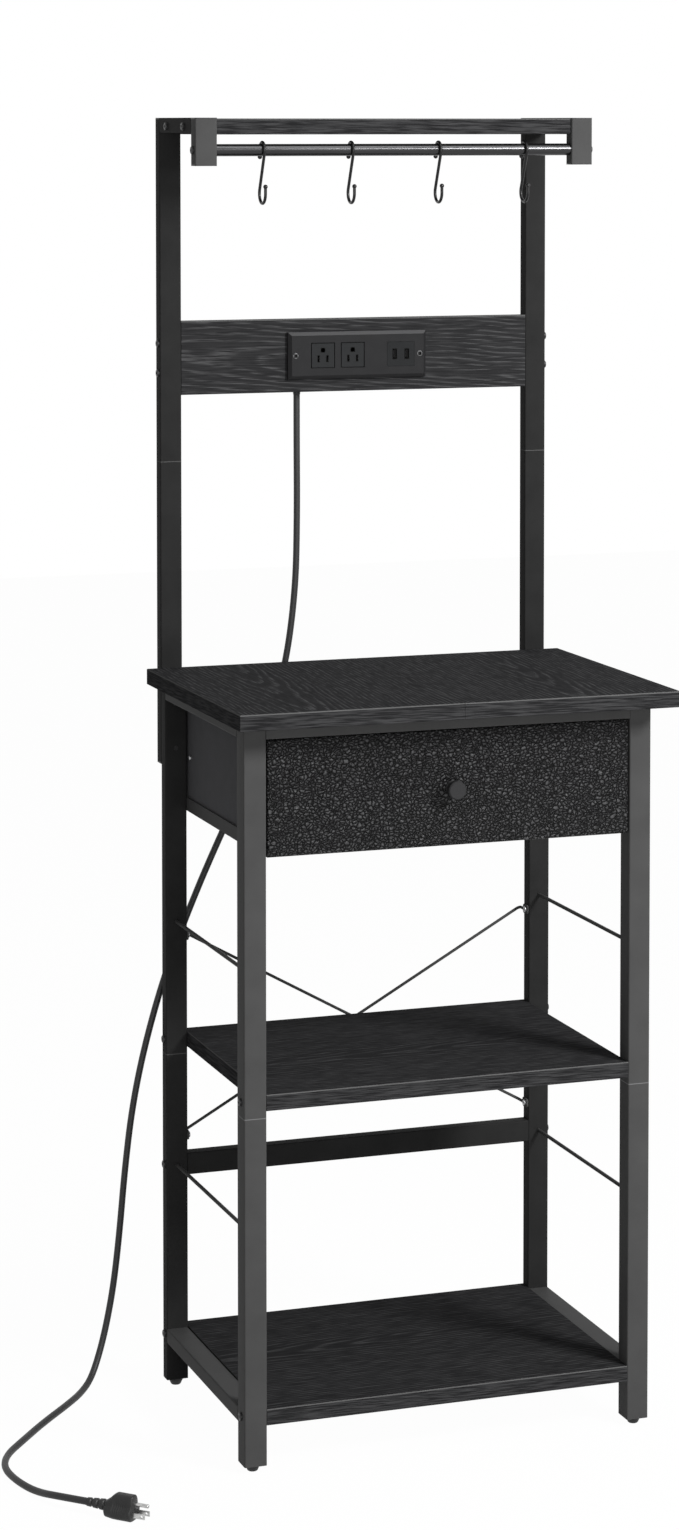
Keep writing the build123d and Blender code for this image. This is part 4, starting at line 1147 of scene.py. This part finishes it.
@dataclass
class MouldedPlug:
    """Soft plug: a round boot with grooves, and a body that is flat below and humped above.

    Sizes are in millimetres. Shares are of the body's length, or of the half height for the
    ledge under the hump.
    """

    aim: Point = (0.7130, -0.7011, 0.0)
    boot: float = 28.0
    boot_ribs: int = 3
    boot_radius: float = 5.3
    boot_growth: float = 2.2
    groove_depth: float = 1.5
    groove_from: float = 0.55  # a groove's place in its rib's pitch
    groove_long: float = 0.4
    groove_round: float = 0.6
    body: float = 38.0
    half_width: float = 12.8
    flare: float = 1.2
    flare_share: float = 0.5
    top: float = 8.4
    hump: float = 9.8
    hump_share: float = 0.4
    bottom: float = 12.0
    belly: float = 1.7
    belly_share: float = 0.3
    root_share: float = 0.05
    root_trim: float = 1.2
    nose_from: float = 0.955
    nose_share: float = 0.045
    nose_trim: float = 1.1
    grip_from: float = 0.3
    grip_share: float = 0.56
    grip_depth: float = 1.3
    grip_centre: float = 0.1
    grip_fall: float = 1.6
    ridge_pitch: float = 0.08
    ridge_depth: float = 0.5
    boot_square: float = 2.0  # 2 is a circle, and more is squarer
    body_square: float = 3.4
    ledge_from: float = 0.1
    ledge_tall: float = 0.14
    ledge_depth: float = 0.36
    around: int = 72
    steps: int = 165
    short: float = 1e-6  # how far the last ring stays from the end

    def section(self, along: float) -> tuple[float, float, float]:
        """The plug's size at a distance from the cord.

        Args:
            along: millimetres from the start of the boot.

        Returns:
            Half width, and height above and below the cord's line, in millimetres.
        """
        if along < self.boot:
            radius = self.boot_radius + self.boot_growth * along / self.boot
            pitch = self.boot / self.boot_ribs
            within = (along % pitch) / pitch
            turn = min(1.0, max(0.0, (within - self.groove_from) / self.groove_long))
            groove = max(0.0, math.sin(math.pi * turn))
            radius -= self.groove_depth * groove ** self.groove_round
            return radius, radius, radius
        share = (along - self.boot) / self.body
        wide = self.half_width + self.flare * min(1.0, share / self.flare_share)
        top = self.top + self.hump * ease(min(1.0, share / self.hump_share))
        bottom = self.bottom + self.belly * min(1.0, share / self.belly_share)
        root = max(0.0, 1 - share / self.root_share)
        nose = max(0.0, (share - self.nose_from) / self.nose_share)
        trim = self.root_trim * root ** 2 + self.nose_trim * nose ** 2
        return wide - trim, top - trim, bottom - trim

    def grip(self, along: float, up: float) -> float:
        """How far the side of the plug is hollowed for the fingers, with fine ridges in the hollow.

        Args:
            along: millimetres from the start of the boot.
            up: height above the plug's middle, as a share of its half height.

        Returns:
            Depth in millimetres.
        """
        within = (along - self.boot) / self.body - self.grip_from
        if not 0 < within < self.grip_share:
            return 0.0
        hollow = math.sin(math.pi * within / self.grip_share) ** 0.5
        ridge = 0.5 - 0.5 * math.cos(2 * math.pi * within / self.ridge_pitch)
        fall = max(0.0, 1 - (up - self.grip_centre) ** 2 * self.grip_fall)
        return hollow * (self.grip_depth + self.ridge_depth * ridge) * fall

    def ring(self, along: float, start: Vector, aim: Vector, side: Vector) -> list[Vector]:
        """The points round the plug at a distance from the cord.

        Args:
            along: millimetres from the start of the boot.
            start: where the boot starts, in metres.
            aim: the way the plug points.
            side: the way to its right.

        Returns:
            The points, in metres.
        """
        wide, top, bottom = self.section(along)
        square = self.boot_square if along < self.boot else self.body_square
        ring = []
        for i in range(self.around):
            a = 2 * math.pi * i / self.around
            c, s = math.cos(a), math.sin(a)
            up = math.copysign(abs(s) ** (2 / square), s)
            out = wide * abs(c) ** (2 / square)
            if along >= self.boot:
                ledge = min(1.0, max(0.0, (up - self.ledge_from) / self.ledge_tall))
                out *= 1 - self.ledge_depth * ease(ledge)
                out -= self.grip(along, up) * abs(c)
            rise = Vector((0.0, 0.0, up * (top if s > 0 else bottom) * MM))
            ring.append(start + aim * along * MM + side * math.copysign(out, c) * MM + rise)
        return ring

    def build(self, start: Vector) -> bpy.types.Object:
        """Loft the plug from the end of the cord.

        Args:
            start: where the boot starts, in metres.

        Returns:
            The plug's piece.
        """
        aim = Vector(self.aim).normalized()
        side = aim.cross(Vector((0.0, 0.0, 1.0)))
        total = self.boot + self.body
        rings = [
            self.ring(min(total * step / self.steps, total - self.short), start, aim, side)
            for step in range(self.steps + 1)
        ]
        plug = finish_piece(loft("plug_moulding", rings), "plug_moulding", PLUG, Body.FRAME)
        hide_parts("plug_body")
        return plug


@dataclass
class MainsLead:
    """Round mains lead down the back and round to the front left, with its plug. In metres."""

    diameter: float = 0.009
    length: float = 1.9
    route: tuple[Point, ...] = (
        (-0.079, 0.2175, 1.350), (-0.079, 0.2175, 1.285), (-0.078, 0.219, 1.185), (-0.080, 0.220, 1.078),
        (-0.096, 0.221, 0.965), (-0.132, 0.2215, 0.857), (-0.183, 0.222, 0.757), (-0.228, 0.2225, 0.660),
        (-0.267, 0.2235, 0.562), (-0.295, 0.225, 0.468), (-0.314, 0.226, 0.380), (-0.325, 0.227, 0.290),
        (-0.332, 0.2285, 0.207), (-0.340, 0.230, 0.135), (-0.350, 0.231, 0.080), (-0.362, 0.226, 0.040),
        (-0.379, 0.208, 0.012), (-0.401, 0.178, 0.005), (-0.430, 0.140, 0.005), (-0.4775, 0.084, 0.005),
        (-0.522, 0.025, 0.005), (-0.553, -0.017, 0.005), (-0.567, -0.060, 0.005), (-0.563, -0.108, 0.005),
        (-0.549, -0.154, 0.005), (-0.5291, -0.2034, 0.014), (-0.502, -0.230, 0.014),
    )
    plug: MouldedPlug = field(default_factory=MouldedPlug)
    relief_tall: float = 0.023
    relief_ribs: RibRow = field(
        default_factory=lambda: RibRow("relief_rib_row", length=0.019, first=0.0053, last=0.0049)
    )

    def build_cord(self, plug: bpy.types.Object) -> None:
        """The lead itself, as one smooth curve along the route.

        Args:
            plug: the plug's piece.
        """
        curve = bpy.data.curves.new("mains_cord", "CURVE")
        curve.dimensions = "3D"
        line = curve.splines.new("NURBS")
        line.points.add(len(self.route) - 1)
        for point, place in zip(line.points, self.route):
            point.co = (*place, 1.0)
        line.order_u = 3
        line.use_endpoint_u = True
        line.resolution_u = 12
        curve.resolution_u = 12
        curve.bevel_depth = self.diameter / 2
        curve.bevel_resolution = 5
        curve.use_fill_caps = True
        curve.materials.append(JACKET.material())
        cord = bpy.data.objects.new("mains_cord", curve)
        bpy.context.scene.collection.objects.link(cord)
        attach(cord, Body.FRAME.value)
        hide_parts("power_cord")
        log.info("mains_cord: %d points", len(self.route))

    def build_relief(self) -> None:
        """Ribs round the tapered strain relief under the housing."""
        top = Vector(self.route[0]) + Vector((0.0, 0.0, self.relief_tall))
        place = Matrix.Translation(top) @ Matrix.Rotation(math.pi, 4, "X")
        finish_piece(self.relief_ribs.mesh(HOUSING, place), "relief_ribs", HOUSING, Body.FRAME)

    def build(self) -> None:
        """Cord, plug, blades and strain relief."""
        self.build_cord(self.plug.build(Vector(self.route[-1])))
        self.build_relief()
        dress(BLADE, ["plug_blades"])
        dress(HOUSING, ["cord_strain_relief"])
        dress(JACKET, ["power_cord"])
        dress(PLUG, ["plug_body"])


# ---------------------------------------------------------------- the stand


@dataclass
class SteelFrame:
    """Legs, rails, braces and feet. Places are in metres."""

    ends: tuple[str, ...] = ("front", "rear")
    foot_x: float = 0.265
    foot_y: tuple[float, ...] = (-0.159, 0.186)
    ribs: GripRibs = field(default_factory=GripRibs)
    rib_height: float = 0.0072

    def build(self) -> None:
        """Dress the tubes, rods, caps and hidden parts, and rib the feet."""
        # The rear legs and the rear cross rail take the coat that is painted darker as shade.
        for end, finish in zip(self.ends, (STEEL, SHADED_STEEL)):
            dress(finish, [f"{end}_leg_{half}_{side}" for half in HALVES for side in SIDES])
        dress(SHADED_STEEL, ["rear_cross_rail"])
        dress(STEEL, ["bottom_side_rails", "top_side_rails", "front_top_rail", "rear_top_rail",
                      "side_guard_rods", "back_brace_near", "back_brace_far", "tube_joint_sleeves"])
        dress(CAP, ["tube_end_caps", "foot_inserts"])
        for end, y in zip(self.ends, self.foot_y):
            for side, x in zip(SIDES, (-self.foot_x, self.foot_x)):
                dress(CAP, [f"levelling_foot_{end}_{side}"])
                ribs = self.ribs.mesh(CAP, Matrix.Translation((x, y, self.rib_height)))
                finish_piece(ribs, f"foot_ribs_{end}_{side}", CAP, Body(f"foot_{end}_{side}"))


@dataclass
class Boards:
    """Tabletop in two halves, three shelves, and the dowels inside the tabletop.

    Each board is cut from another place of the printed sheet, so each has its own heart, given
    here with the height of the board's top, in millimetres.
    """

    cuts: dict[str, tuple[Point, float]] = field(default_factory=lambda: {
        "tabletop_left": ((40.0, -190.0, 1012.0), 985.0),
        "tabletop_right": ((-60.0, 170.0, 1008.0), 985.0),
        "middle_shelf": ((60.0, -20.0, 505.0), 489.0),
        "bottom_shelf": ((-90.0, 30.0, 100.0), 82.0),
        "top_shelf": ((40.0, 150.0, 1745.0), 1728.0),
    })

    def build(self) -> None:
        """Dress every board with its own cut of the figure."""
        for name, (heart, top) in self.cuts.items():
            cut = Laminate(
                f"laminate_{name}", Slot.LAMINATE, "#1f1f20", roughness=0.75, specular=0.006, heart=heart,
                edge_top=top, front_to_back=name.startswith("tabletop"), banded=True,
            )
            dress(cut, [name])
        dress(BEECH, ["tabletop_dowels"])


@dataclass
class Hutch:
    """Posts, arms, brackets, hook rail and S-hooks."""

    hooks: int = 4

    def build(self) -> None:
        """Dress the posts, arms and brackets, the rail and the hooks."""
        # Posts and arms take the coat that is painted darker as shade.
        dress(SHADED_STEEL, [f"hutch_post_{half}_{side}" for half in HALVES for side in SIDES])
        dress(SHADED_STEEL, ["hutch_arms"])
        dress(STEEL, ["rail_brackets"])
        dress(RAIL_STEEL, ["hanging_rail"])
        dress(WIRE, [f"s_hook_{number}" for number in range(1, self.hooks + 1)])


@dataclass
class SocketStrip:
    """Board between the posts with two sockets and a charging module in a bevelled plate.

    Places are in metres, and a tongue's sizes in millimetres.
    """

    centre: Point = (-0.0295, 0.187, 1.405)
    slot_drop: float = 0.0045
    leaf_depth: float = 0.009
    contacts: ContactRows = field(default_factory=ContactRows)
    charger_x: float = 0.062
    port_pitch: float = 0.0177
    tongue_depth: float = 0.0065
    tongue: Point = (1.8, 7.0, 10.6)
    tongue_bevel: float = 0.06
    strip: Point = (0.3, 5.4, 1.0)
    strip_side: float = 1.0
    strip_rows: tuple[float, ...] = (-3.6, -1.2, 1.2, 3.6)

    def build_tongues(self) -> None:
        """The contact tongue inside each charging port, with its four strips."""
        shell = bmesh.new()
        blocks = [(self.tongue, 0.0, 0.0)] + [(self.strip, self.strip_side, row) for row in self.strip_rows]
        for sign in (-1, 1):
            x = self.charger_x + sign * self.port_pitch / 2
            place = Vector((x, self.centre[1] + self.tongue_depth, self.centre[2]))
            for size, shift, row in blocks:
                for v in bmesh.ops.create_cube(shell, size=1.0)["verts"]:
                    corner = Vector((v.co.x * size[0] + shift, v.co.y * size[1], v.co.z * size[2] + row))
                    v.co = place + corner * MM
        bmesh.ops.bevel(
            shell, geom=list(shell.edges), offset=self.tongue_bevel * MM, segments=1, affect="EDGES"
        )
        mesh = bpy.data.meshes.new("port_tongues")
        shell.to_mesh(mesh)
        shell.free()
        finish_piece(mesh, "port_tongues", CAP, Body.FRAME)

    def build(self) -> None:
        """Dress the strip and fit contacts and tongues."""
        x, y, z = self.centre
        place = Matrix.Translation((x, y + self.leaf_depth, z - self.slot_drop))
        finish_piece(self.contacts.mesh(BLADE, place), "socket_contacts", BLADE, Body.FRAME)
        self.build_tongues()
        panel = Laminate(
            "laminate_outlet_panel", Slot.LAMINATE, "#212122", roughness=0.65, specular=0.03,
            heart=(-60.0, 178.0, 1392.0), lean=0.075, edge_top=1455.0,
        )
        dress(panel, ["outlet_panel"])
        dress(PLATE, ["outlet_faceplate"])
        dress(INSERT, ["socket_inserts"])
        dress(CHARGER, ["charging_module"])
        dress(HOUSING, ["outlet_housing"])
        dress(PLATE_SCREW, ["faceplate_screws"])


@dataclass
class Drawer:
    """Drawer with a leatherette front, cloth-covered box, knob and runners."""

    box: tuple[str, ...] = ("drawer_sides", "drawer_back", "drawer_bottom")

    def build(self) -> None:
        """Dress the drawer's pieces and its runners."""
        dress(LEATHER, ["drawer_front"])
        dress(CLOTH, self.box)
        dress(KNOB, ["drawer_knob"])
        dress(ZINC, ["drawer_screws"])
        dress(STEEL, ["drawer_runners"])


@dataclass
class Fasteners:
    """Bolts of the frame and the screws of braces and tabletop."""

    def build(self) -> None:
        """Dress bolts and screws."""
        dress(BOLT_STEEL, ["frame_bolts"])
        dress(ZINC, ["brace_screws", "tabletop_screws"])


def main() -> None:
    """Build the studio and the stand, piece by piece."""
    logging.basicConfig(level=logging.INFO, format="%(name)s: %(message)s")
    for part in (Studio(), MainsLead(), SteelFrame(), Boards(), Hutch(), SocketStrip(), Drawer(), Fasteners()):
        part.build()
        log.info("%s done", type(part).__name__)


if __name__ == "__main__":
    main()
